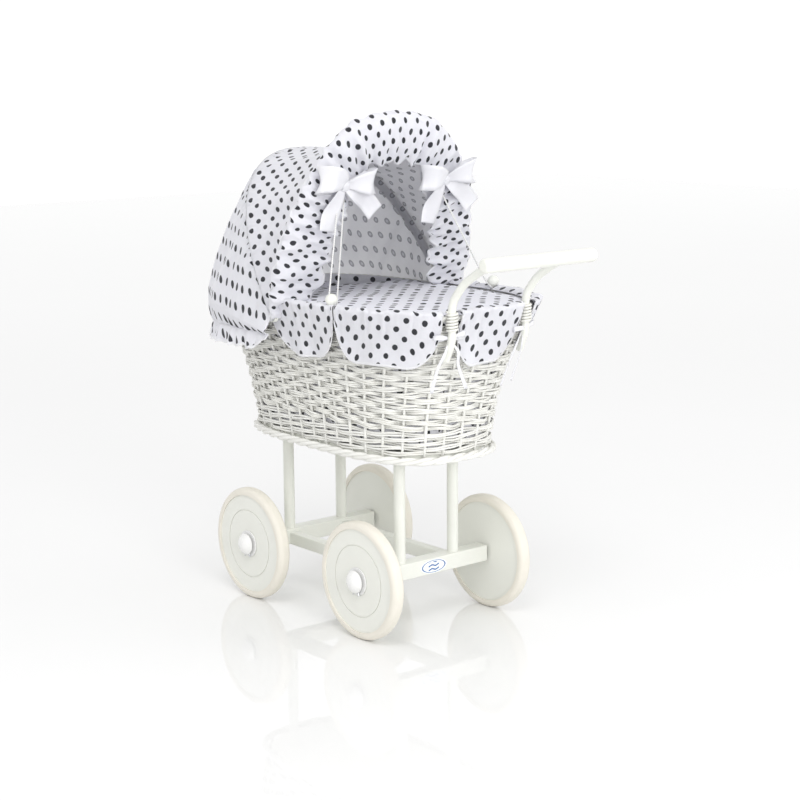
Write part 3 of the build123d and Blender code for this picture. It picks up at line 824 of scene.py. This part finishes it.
def make_skirts(materials):
    arm_gap = 0.011
    for side_name, side in SIDES.items():
        node = f"skirt_{side_name}"
        turn = 0 if side > 0 else 1
        slit = share_at_y(-0.0635, side)
        front = share_at_y(0.056, side)
        arm = share_at_x(side * (ARM_X + arm_gap)) + turn
        gap = 0.0012 / ROUND * side
        piece = skirt_flap(f"{node}_front", front, slit + gap, 0.3365, 3 + side, materials, (0.036, 0.050))
        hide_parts(node)
        piece = skirt_flap(f"{node}_long", slit - gap, arm, 0.3355, 7 + side, materials)
        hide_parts(node)
    reach = share_at_x(ARM_X - arm_gap)
    piece = skirt_flap("skirt_rear_flap", -reach, reach, 0.3335, 12, materials, (0.030, 0.046))
    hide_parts("skirt_rear")


def make_liner(materials):
    """The dotted lining inside the wall, up to just under the rim, and lower where the handle arms pass."""
    rows, columns = 420, 26
    share = np.linspace(0, 1, rows)[:, None]
    v = np.linspace(0, 1, columns)[None, :]
    arm = share_at_x(ARM_X)
    near_arm = sum(smoothstep(np.abs((share - a + 0.5) % 1 - 0.5) * ROUND, 0.020, 0.010) for a in (arm, -arm))
    along = share * ROUND
    top = RIM_Z - 0.0012 - 0.028 * near_arm
    z = 0.231 + (top - 0.231) * v
    gathers = ripple(along, 2 * v, 0.021, 41) * smoothstep(share, 0, 0.02) * smoothstep(share, 1, 0.98)
    out = -0.0092 + 0.0005 * gathers * smoothstep(v, 0.3, 0.9)
    points = wall(share, z, np.broadcast_to(out, z.shape))
    hem = np.full(points.shape[:2], HEM_AWAY)
    cloth = [materials["dotted_cotton"]]
    piece = cloth_piece("liner_cloth", points, cloth_uv(points, 1.05), hem, cloth, 0.0007)
    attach(piece, "root")
    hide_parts("liner")


# ---------------------------------------------------------------- bedding


PLUMP_FRAMES = 20


def plump(piece, voxel, pressure, cap):
    """Remeshes a closed piece and swells it as cloth, moving no point further than cap."""
    bpy.context.view_layer.objects.active = piece
    remesh = piece.modifiers.new("remesh", "REMESH")
    remesh.mode = "VOXEL"
    remesh.voxel_size = voxel
    remesh.use_smooth_shade = True
    bpy.ops.object.select_all(action="DESELECT")
    piece.select_set(True)
    bpy.ops.object.modifier_apply(modifier=remesh.name)
    rest = np.array([v.co for v in piece.data.vertices])
    cloth = piece.modifiers.new("cloth", "CLOTH")
    settings = cloth.settings
    settings.quality = 5
    settings.mass = 0.2
    settings.tension_stiffness = settings.compression_stiffness = 12
    settings.bending_stiffness = 0.4
    settings.use_pressure = True
    settings.uniform_pressure_force = pressure
    settings.effector_weights.gravity = 0
    settings.shrink_min = -0.05
    cloth.collision_settings.use_self_collision = False
    scene = bpy.context.scene
    for number in range(1, PLUMP_FRAMES + 1):
        scene.frame_set(number)
    shown = piece.evaluated_get(bpy.context.evaluated_depsgraph_get())
    moved = np.array([v.co for v in shown.data.vertices])
    piece.modifiers.remove(cloth)
    scene.frame_set(1)
    step = moved - rest
    far = np.linalg.norm(step, axis=1, keepdims=True)
    step *= np.minimum(1, cap / np.maximum(far, 1e-9))
    piece.data.vertices.foreach_set("co", (rest + step).astype(np.float32).ravel())
    piece.data.update()


def bedding_block(name, z0, z1, y0, y1, inset, edge, materials):
    """A closed form with rounded edges that fills the basket between two heights and two ends."""
    layers, around = 14, 120
    share = np.linspace(0, 1, around, endpoint=False)
    rings = []
    for z in np.linspace(z0, z1, layers):
        near = min(1, (z - z0) / edge, (z1 - z) / edge)
        shrink = edge * (1 - np.sqrt(1 - (1 - near) ** 2))
        ring = wall(share, z, -inset - shrink)
        ring[:, 1] = np.clip(ring[:, 1], y0 + shrink, y1 - shrink)
        rings.append(ring)
    # the grid's last column of faces joins back on to its first column of points
    column, row = np.arange(around), np.arange(layers - 1)[:, None]
    first, second = row * around + column, row * around + (column + 1) % around
    faces = np.stack([first, second, second + around, first + around], -1).reshape(-1, 4).tolist()
    faces.append(list(range(around))[::-1])
    faces.append([(layers - 1) * around + i for i in range(around)])
    return make_mesh(name, np.concatenate(rings), faces, materials, smooth=False)


def vertex_places(data):
    co = np.empty(len(data.vertices) * 3, np.float32)
    data.vertices.foreach_get("co", co)
    return co.reshape(-1, 3)


def map_flat(piece, shift=(0.0, 0.0)):
    """Lays the printed cloth over a piece from above, running down its sides."""
    data = piece.data
    co = vertex_places(data)
    depth = co[:, 2].max() - co[:, 2]
    away = co[:, :2] - co[:, :2].mean(0)
    away /= np.maximum(np.linalg.norm(away, axis=1, keepdims=True), 1e-6)
    set_uv(data, co[:, :2] + away * depth[:, None] + np.array(shift))
    set_values(data, "hem", np.full(len(data.vertices), HEM_AWAY))


def crumple(piece, top_from, size, seed):
    """Adds the slack folds of a coverlet to the upper face of a piece."""
    data = piece.data
    co = vertex_places(data)
    x, y = co[:, 0], co[:, 1]
    upper = smoothstep(co[:, 2], top_from, top_from + 0.02)
    folds = ripple(x + 0.35 * y, 14 * y, 0.085, seed) + 0.6 * ripple(y - 0.3 * x, 17 * x, 0.06, seed + 1)
    fine = 0.35 * ripple(x + 0.8 * y, 30 * x, 0.028, seed + 2)
    co[:, 2] += upper * size * (folds + fine)
    data.vertices.foreach_set("co", co.ravel())
    data.update()


def make_bedding(materials):
    dotted = [materials["dotted_cotton"]]
    pieces = (
        ("quilt", 0.3195, 0.3985, -0.200, 0.108, 0.0088, 0.006, dotted, 0.0050),
        ("pillow", 0.3195, 0.3880, 0.112, 0.250, 0.0165, 0.012, dotted, 0.0055),
        ("mattress", 0.2300, 0.3150, -0.200, 0.250, 0.0135, 0.016, [materials["mattress_ticking"]], 0.0065),
    )
    for name, z0, z1, y0, y1, inset, edge, cloth, voxel in pieces:
        piece = bedding_block(name + "_cloth", z0, z1, y0, y1, inset, edge, cloth)
        plump(piece, voxel, 3.0, 0.0025)
        smooth = piece.modifiers.new("finer", "SUBSURF")
        smooth.levels = smooth.render_levels = 1
        bpy.context.view_layer.objects.active = piece
        bpy.ops.object.modifier_apply(modifier=smooth.name)
        if name == "quilt":
            crumple(piece, 0.366, 0.0008, 61)
        if name == "pillow":
            crumple(piece, 0.365, 0.0022, 67)
        map_flat(piece, (0.004, 0.009))
        piece.data.polygons.foreach_set("use_smooth", [True] * len(piece.data.polygons))
        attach(piece, "root")
        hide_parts(name)


# ---------------------------------------------------------------- hood

ARCH_EXPONENT = 2.36
HOOD_A, HOOD_R = 0.1432, 0.2298


def arch(share, half_width, height):
    """x and distance from the hinge line, at shares of a half superellipse's length from left to right."""
    angle = pi - np.linspace(0, pi, 1601)
    power = 2 / ARCH_EXPONENT
    x = np.sign(np.cos(angle)) * np.abs(np.cos(angle)) ** power
    r = np.abs(np.sin(angle)) ** power
    way = lengths_along(np.stack([HOOD_A * x, HOOD_R * r], 1))
    way /= way[-1]
    return half_width * np.interp(share, way, x), height * np.interp(share, way, r)


ARCH_LENGTH = 0.560


def hood_points(share, angle, pivot, half_width, height, exponent=ARCH_EXPONENT):
    """Points of an arch of any squareness, turned up by angle about a pivot line. All may be arrays."""
    x, r = arch(share, 1.0, 1.0)
    bearing = np.arctan2(r * HOOD_R, x * HOOD_A)
    reach = superellipse(bearing, half_width, height, exponent)
    x, r = reach * np.cos(bearing), reach * np.sin(bearing)
    return np.stack(np.broadcast_arrays(x, pivot[0] + r * np.cos(angle), pivot[1] + r * np.sin(angle)), -1)


def normals_of(points):
    """Unit normals of a grid of points."""
    du, dv = np.gradient(points, axis=0), np.gradient(points, axis=1)
    normal = np.cross(du, dv)
    return normal / np.maximum(np.linalg.norm(normal, axis=2, keepdims=True), 1e-12)


def hinge_angle(piece):
    """Each point's angle up from +Y about the hood's hinge."""
    co = np.array([v.co for v in piece.data.vertices])
    return np.arctan2(co[:, 2] - HINGE_Z, co[:, 1] - HINGE_Y)


def blend_by_angle(piece, a, b, low, high):
    """Bakes a piece's transform into its mesh and finds its points' angles about the hinge."""
    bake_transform(piece)
    angle = hinge_angle(piece)
    angle = np.where(angle < -pi / 2, angle + 2 * pi, angle)


def hood_sheet(name, points, hem_sides, node_list, blend, materials, shift=(0.0, 0.0), uv=None):
    hem = hem_distance(points, hem_sides) if hem_sides else np.full(points.shape[:2], HEM_AWAY)
    uv = cloth_uv(points, 1.15, shift) if uv is None else uv
    cloths = [materials["dotted_cotton"], materials["dotted_inside"]]
    piece = cloth_piece(name, points, uv, hem, cloths, flip=outward_sign(points) > 0)
    if isinstance(blend, str):
        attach(piece, blend)
    else:
        blend_by_angle(piece, *blend)
    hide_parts(*node_list)


PRINT_STRETCH = 0.86  # the back's print is stretched along the arch, by one over this


def rear_hood(materials):
    """The puffed back of the hood: from the rear hoop down to its elastic, and a frill below it."""
    rows, columns, frill = 300, 70, 14
    share = np.linspace(0, 1, rows)[:, None]
    v = np.linspace(0, 1, columns)[None, :]
    angle = REAR_ANGLE * (1 - v) + radians(-1.0) * v
    base = smoothstep(v, 0.25, 1.0)
    pivot = (HINGE_Y + 0.010 * base, HINGE_Z - 0.022 * base)
    heights = (0.2298, 0.2235, 0.2150, 0.2145, 0.2125, 0.2035)
    crest = np.interp(v[0], (0, 0.2, 0.5, 0.8, 0.93, 1.0), heights)[None, :]
    width = np.interp(v[0], (0, 0.5, 0.8, 1.0), (0.1432, 0.1440, 0.1475, 0.1400))[None, :]
    points = hood_points(share, angle, pivot, width, crest, ARCH_EXPONENT + 0.6 * base)
    along = share * ARCH_LENGTH
    ends = smoothstep(share, 0, 0.05) * smoothstep(share, 1, 0.95)
    near_hoop, near_elastic = np.exp(-v / 0.10), np.exp(-(1 - v) / 0.08)
    middle = np.sin(pi * v)
    lift = 0.0016 * near_hoop * ripple(along, 2 * v, 0.012, 21) * smoothstep(v, 0, 0.03)
    lift = lift + 0.0026 * near_elastic * ripple(along, 3 * v, 0.019, 22)
    lift = lift + 0.0030 * middle * ripple(along, 4 * v, 0.075, 23)
    lift = lift + 0.0012 * middle * ripple(along, 6 * v, 0.03, 24)
    lift = lift - 0.0028 * np.exp(-(((v - 0.985) / 0.012) ** 2))
    points = points + (normals_of(points) * (lift * ends)[..., None]) * outward_sign(points)

    skirt_v = np.linspace(0, 1, frill + 1)[None, 1:]
    last = points[:, -1:]
    centre = np.array([0, HINGE_Y + 0.05, 0.0])
    away = last - centre
    away[..., 2] = 0
    away = unit(away)
    flare = 0.0015 * skirt_v + 0.0034 * skirt_v * (1 + 0.8 * ripple(along, 1.5 * skirt_v, 0.028, 26))
    corner = 1 - smoothstep(np.minimum(along, ARCH_LENGTH - along), 0, 0.03)
    depth = 0.0200 * (1 - 0.75 * corner) + 0.0016 * ripple(along, 0, 0.04, 27)
    hang = last + away * flare[..., None] + np.array([0, 0, -1.0]) * (depth * skirt_v)[..., None]
    points = np.concatenate([points, hang], 1)
    uv = cloth_uv(points, PRINT_STRETCH, (0.003, 0.0))
    uv[:, :columns, 0] += 0.010 * (np.exp(-v / 0.1) * ripple(along, 0, 0.02, 28))
    hood_sheet(
        "hood_back_cloth", points, ("bottom",), ["hood_back_panel", "hood_mid_panel"],
        ("root", "hood_rear", radians(6), REAR_ANGLE), materials, uv=uv,
    )


def outward_sign(points):
    """1 or -1, whichever turns the grid's normals away from the middle of the hood."""
    middle = points.reshape(-1, 3).mean(0)
    normal = normals_of(points)
    return np.sign(((points - middle) * normal).sum())


def front_hood(materials):
    """The cloth between the two hoops, which sags a little between them."""
    rows, columns = 300, 46
    share = np.linspace(0, 1, rows)[:, None]
    v = np.linspace(0, 1, columns)[None, :]
    angle = REAR_ANGLE + (FRONT_ANGLE - REAR_ANGLE) * v
    half = (FRONT_ANGLE - REAR_ANGLE) / 2
    chord = cos(half) / np.cos(angle - REAR_ANGLE - half)
    sag = 1 - 0.050 * np.sin(pi * v) ** 0.8
    width = HOOD_A + 0.0010 * v - 0.004 * np.sin(pi * v)
    points = hood_points(share, angle, (HINGE_Y, HINGE_Z), width, HOOD_R * chord * sag)
    along = share * ARCH_LENGTH
    ends = smoothstep(share, 0, 0.06) * smoothstep(share, 1, 0.94)
    near_rear, near_front = np.exp(-v / 0.16), np.exp(-(1 - v) / 0.2)
    middle = np.sin(pi * v)
    lift = 0.0016 * near_rear * ripple(along, 2 * v, 0.013, 31) * smoothstep(v, 0, 0.04)
    lift = lift + 0.0016 * near_front * ripple(along, 2 * v, 0.015, 32) * smoothstep(v, 1, 0.96)
    lift = lift + 0.0026 * middle * ripple(along, 3 * v, 0.06, 33)
    points = points + (normals_of(points) * (lift * ends)[..., None]) * outward_sign(points)
    hood_sheet(
        "hood_front_cloth", points, (), ["hood_front_panel"],
        ("hood_rear", "hood_front", REAR_ANGLE, FRONT_ANGLE), materials,
        (0.006, 0.004),
    )


def hoop_frame(share, angle, half_width, height):
    """Points, outward and forward directions along a hoop turned up by angle."""
    x, r = arch(share, half_width, height)
    hinge = np.array([0, HINGE_Y, HINGE_Z])
    up, ahead = np.array([0, cos(angle), sin(angle)]), np.array([0, -sin(angle), cos(angle)])
    place = np.stack([x, 0 * x, 0 * x], -1) + r[:, None] * up + hinge
    outward = np.cross(ahead, unit(np.gradient(place, axis=0)))
    outward *= np.sign((outward * (place - hinge)).sum(1, keepdims=True))
    return place, outward, ahead


def front_frill(materials):
    """The puffed band round the front of the hood: sewn behind the hoop, over it, and free inside it."""
    rows, columns = 460, 34
    share = np.linspace(0, 1, rows)
    place, outward, ahead = hoop_frame(share, FRONT_ANGLE, HOOD_A, HOOD_R)
    along = share * ARCH_LENGTH
    side = smoothstep(np.abs(place[:, 0]), 0.05, 0.125)
    end = smoothstep(share, 0.0, 0.07) * smoothstep(share, 1.0, 0.93)
    bow = sum(np.exp(-((((share - b) * ARCH_LENGTH) / 0.011) ** 2)) for b in BOW_SHARES)
    scallop = np.abs(np.sin(pi * along / 0.034 + 0.5 * ripple(along, 0, 0.09, 51)))
    one = np.ones(rows)
    # each column: how far out of the hoop, and how far ahead of it, across the band
    top = 1 - side
    profile = [
        (0.0050 - 0.0010 * side + 0.0050 * scallop * side, -0.0150 * top - 0.0020 * side),
        (0.0135 - 0.0050 * side, -0.0100 * top + 0.0020 * side),
        (0.0205 - 0.0080 * side, 0.0060 * side),
        (0.0150 - 0.0050 * side, 0.0105 * one),
        (0.0010 - 0.0020 * side, 0.0150 * one),
        (-0.0150 - 0.0065 * side, 0.0160 * one),
        (-0.0290 - 0.0130 * side, 0.0140 + 0.003 * side),
        (-0.0360 - 0.0170 * side - 0.0075 * scallop + 0.004 * bow, 0.0100 + 0.004 * side - 0.004 * bow),
    ]
    v = np.linspace(0, 1, columns)
    section = smooth_curve(np.array([np.stack([n, f], -1) for n, f in profile]), v)
    n, f = section[..., 0].T, section[..., 1].T
    n = n * (0.2 + 0.8 * end[:, None])
    f = f * (0.4 + 0.6 * end[:, None])
    vv, aa = v[None, :], along[:, None]
    loose = smoothstep(vv, 0.05, 0.3) * (1 - 0.6 * np.exp(-(((vv - 0.42) / 0.12) ** 2)))
    f = f + 0.0026 * loose * ripple(aa, 2.5 * vv, 0.022, 52) * (1 - 0.5 * bow[:, None])
    n = n + 0.0016 * loose * ripple(aa, 2.0 * vv, 0.027, 53)
    f = f + 0.0016 * np.exp(-(((vv - 0.1) / 0.09) ** 2)) * ripple(aa, 0, 0.011, 54)
    f = f + 0.0024 * smoothstep(vv, 0.7, 1.0) * ripple(aa, vv, 0.034, 55)
    f = f - 0.006 * bow[:, None] * smoothstep(vv, 0.35, 0.8)
    crush = (side * end)[:, None] * smoothstep(vv, 0.05, 0.25)
    f = f + 0.0030 * crush * ripple(aa, 3 * vv, 0.024, 57, wander=5)
    n = n + 0.0022 * crush * ripple(aa, 3 * vv, 0.017, 58, wander=6)
    points = place[:, None] + outward[:, None] * n[..., None] + ahead * f[..., None]
    uv = cloth_uv(points, 1.35, (0.002, 0.011))
    uv[..., 0] += 0.0015 * ripple(aa, 3 * vv, 0.03, 56)
    hood_sheet(
        "hood_frill_cloth", points, ("top", "bottom"), ["hood_frill"],
        "hood_front", materials, uv=uv,
    )


def find_bow_shares():
    """Where along the arch the two bows sit, by their x."""
    share = np.linspace(0, 1, 4001)
    x, _ = arch(share, HOOD_A, HOOD_R)
    return [float(np.interp(side * 0.098, x, share)) for side in (-1, 1)]


BOW_SHARES = find_bow_shares()


CASING_SPAN = (0.085, 0.915)  # the shares of the arch where a casing starts and ends


def make_casings(materials):
    """The sewn channels that hold the two hoops, on the inside of the cloth."""
    for name, angle, inner, body in (
        ("rear", REAR_ANGLE, (0.1360, 0.2248), "hood_rear"),
        ("front", FRONT_ANGLE, (0.1387, 0.2275), "hood_front"),
    ):
        rows, columns = 220, 12
        share = np.linspace(*CASING_SPAN, rows)
        place, outward, ahead = hoop_frame(share, angle, *inner)
        across = np.linspace(-1, 1, columns)
        away = 0.0016 - 0.0022 * across**4
        along = share[:, None] * ARCH_LENGTH
        away = away[None, :] + 0.0004 * ripple(along, 2 * across[None, :], 0.012, 71)
        inward = outward[:, None] * away[..., None]
        points = place[:, None] - inward + ahead * (0.0065 * across)[None, :, None]
        hem = np.full(points.shape[:2], HEM_AWAY)
        cloth = [materials["dotted_inside"]]
        piece = cloth_piece(f"hood_casing_{name}", points, cloth_uv(points, 1.1), hem, cloth, 0.0006)
        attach(piece, body)


# ---------------------------------------------------------------- ribbons


def ribbon_strip(line, faces_to, widths, steps, curl=0.0):
    """Grid points of a ribbon along a smooth line. faces_to is the way its face looks at each point."""
    shares = np.linspace(0, 1, steps)
    centre = smooth_curve(line, shares)
    facing = smooth_curve(faces_to, shares)
    width = smooth_curve(np.asarray(widths, float)[:, None], shares)[:, 0]
    tangent = unit(np.gradient(centre, axis=0))
    across = unit(np.cross(tangent, facing))
    normal = np.cross(across, tangent)
    w = np.linspace(-0.5, 0.5, 7)
    bend = curl * (w**2 - 0.08)
    width = width[:, None, None]
    flat = centre[:, None] + across[:, None] * (w[None, :, None] * width)
    return flat + normal[:, None] * (bend[None, :, None] * width)


def ribbon_object(name, strips, place, axes, materials, body, node):
    """Joins ribbon strips, given in local right, up, forward metres, into one piece."""
    points, faces, uvs, hems, count, area = [], [], [], [], 0, 0.0
    for strip in strips:
        grid = place + strip @ np.array(axes)
        points.append(grid.reshape(-1, 3))
        faces.append(grid_faces(*grid.shape[:2]) + count)
        uvs.append(cloth_uv(grid).reshape(-1, 2))
        hems.append(hem_distance(grid, ("top", "bottom")).ravel())
        count += len(points[-1])
        area += surface_area(grid)
    points, faces, uvs, hems = (np.concatenate(part) for part in (points, faces, uvs, hems))
    piece = make_mesh(name, points, faces, [materials["satin_ribbon"]], uvs, {"hem": hems})
    thicken(piece, 0.0004)
    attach(piece, body)
    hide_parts(node)


def bow_strips(size, width, tails, mirror=1):
    """Two loops, a knot and two tails of a tied bow, in local right, up and forward."""
    strips = []
    for way in (-1, 1):
        m = way * mirror
        droop = 0.10 if way > 0 else 0.28
        line = [
            (0.0, 0.0, 0.05),
            (m * 0.30, 0.08 + droop * 0.5, 0.32),
            (m * 0.70, 0.10 + droop * 0.9, 0.42),
            (m * 0.98, 0.05 + droop * 0.8, 0.12),
            (m * 0.80, -0.05 + droop * 0.4, -0.08),
            (m * 0.40, -0.04, -0.10),
            (0.0, 0.0, -0.02),
        ]
        near = [(0, 0, 1), (0, 0, 1), (m * 0.25, 0, 1)]
        facing = [*near, (m, 0, 0.1), (m * 0.2, 0, -1), (0, 0, -1), (0, 0, -1)]
        widths = [0.28, 0.9, 1.3, 1.3, 1.2, 0.8, 0.3]
        line, facing, widths = (np.array(part, float) for part in (line, facing, widths))
        strips.append(ribbon_strip(line * size, facing, widths * width, 44, 0.25))
    for tail in tails:
        line = np.array(tail) * size
        facing = np.array([(0, 0, 1), (0.15, 0, 1), (-0.2, 0, 1), (0.1, 0, 1)], float)
        widths = np.array([0.3, 0.75, 0.95, 1.0]) * width
        strips.append(ribbon_strip(line, facing, widths, 30, 0.2))
    turns = np.linspace(0, 2 * pi, 9)
    knot = [(0.0006 * mirror * sin(t), 0.312 * width * sin(t), 0.256 * width * cos(t)) for t in turns]
    facing = [(0, sin(t), cos(t)) for t in turns]
    strips.append(ribbon_strip(np.array(knot), np.array(facing, float), np.full(9, 0.42 * width), 36, -0.4))
    return strips


def make_bows(materials):
    for side_name, side in SIDES.items():
        _, _, place, _ = box_parts(f"ribbon_bow_{side_name}")
        ahead = np.array([0, -sin(FRONT_ANGLE), cos(FRONT_ANGLE)])
        up = np.array([0, cos(FRONT_ANGLE), sin(FRONT_ANGLE)])
        axes = [np.array([1.0, 0, 0]), up, ahead]
        place = place + ahead * 0.004
        tails = [
            [(0, 0, 0.02), (0.35, -0.22, 0.16), (0.85, -0.50, 0.10), (1.2, -0.86, 0.16)],
            [(0, 0, 0.02), (-0.22, -0.34, 0.12), (-0.42, -0.85, 0.10), (-0.52, -1.35, 0.14)],
        ]
        strips = bow_strips(0.0400, 0.0240, tails, mirror=-side)
        name, node = f"bow_{side_name}_satin", f"ribbon_bow_{side_name}"
        ribbon_object(name, strips, place, axes, materials, "hood_front", node)


def make_ties(materials):
    for side_name, side in SIDES.items():
        share = share_at_x(side * ARM_X)
        place = wall(share, 0.3705, 0.0065)
        ahead = outwards(np.array([share]))[0]
        up = np.array([0, 0, 1.0])
        axes = [np.cross(up, ahead) * -1, up, ahead]
        lean = 0.9 * max(side, 0)
        tails = [
            [(0, 0, 0.05), (-0.45 + lean, -0.7, 0.3), (-0.6 + lean, -1.6, 0), (-1.3 + 2 * lean, -3.1, -0.45)],
            [(0, 0, 0.05), (0.40 + lean, -0.8, 0.34), (0.75 + lean, -1.7, 0.10), (0.95 + lean, -3.2, -0.40)],
        ]
        strips = bow_strips(0.0195, 0.0042, tails, mirror=1)
        name, node = f"tie_{side_name}_satin", f"tie_ribbon_{side_name}"
        ribbon_object(name, strips, place, axes, materials, "root", node)


# ---------------------------------------------------------------- CAD nodes and floor


def dress_nodes(materials):
    """Gives every CAD node that shows its material."""
    for name, piece in nodes.items():
        finish = "disc_paint" if name.endswith("_disc") else slots[name]
        made = materials.get(finish, materials["painted_wood"])
        piece.data.materials.clear()
        piece.data.materials.append(made)
        for face in piece.data.polygons:
            face.material_index = 0


def make_floor():
    made, tree, shader, at = surface("studio_floor", Specular_IOR_Level=0.5)
    cloudy = noise(tree, at, 3.0)
    tint = blend_colour(tree, cloudy, (0.86, 0.86, 0.86), (0.87, 0.87, 0.87))
    connect(tree, shader, tint, (cloudy, 0.015, 0.025))
    size = 6.0
    corners = [(-size, -size, 0), (size, -size, 0), (size, size, 0), (-size, size, 0)]
    floor = make_mesh("floor", corners, [(0, 1, 2, 3)], [made], smooth=False)


def main():
    make_camera()
    make_studio()
    materials = make_materials()
    make_hood_cords(materials)
    dress_nodes(materials)
    make_wicker(materials)
    make_liner(materials)
    make_skirts(materials)
    rear_hood(materials)
    front_hood(materials)
    front_frill(materials)
    make_casings(materials)
    make_bows(materials)
    make_ties(materials)
    make_bedding(materials)
    make_floor()


main()
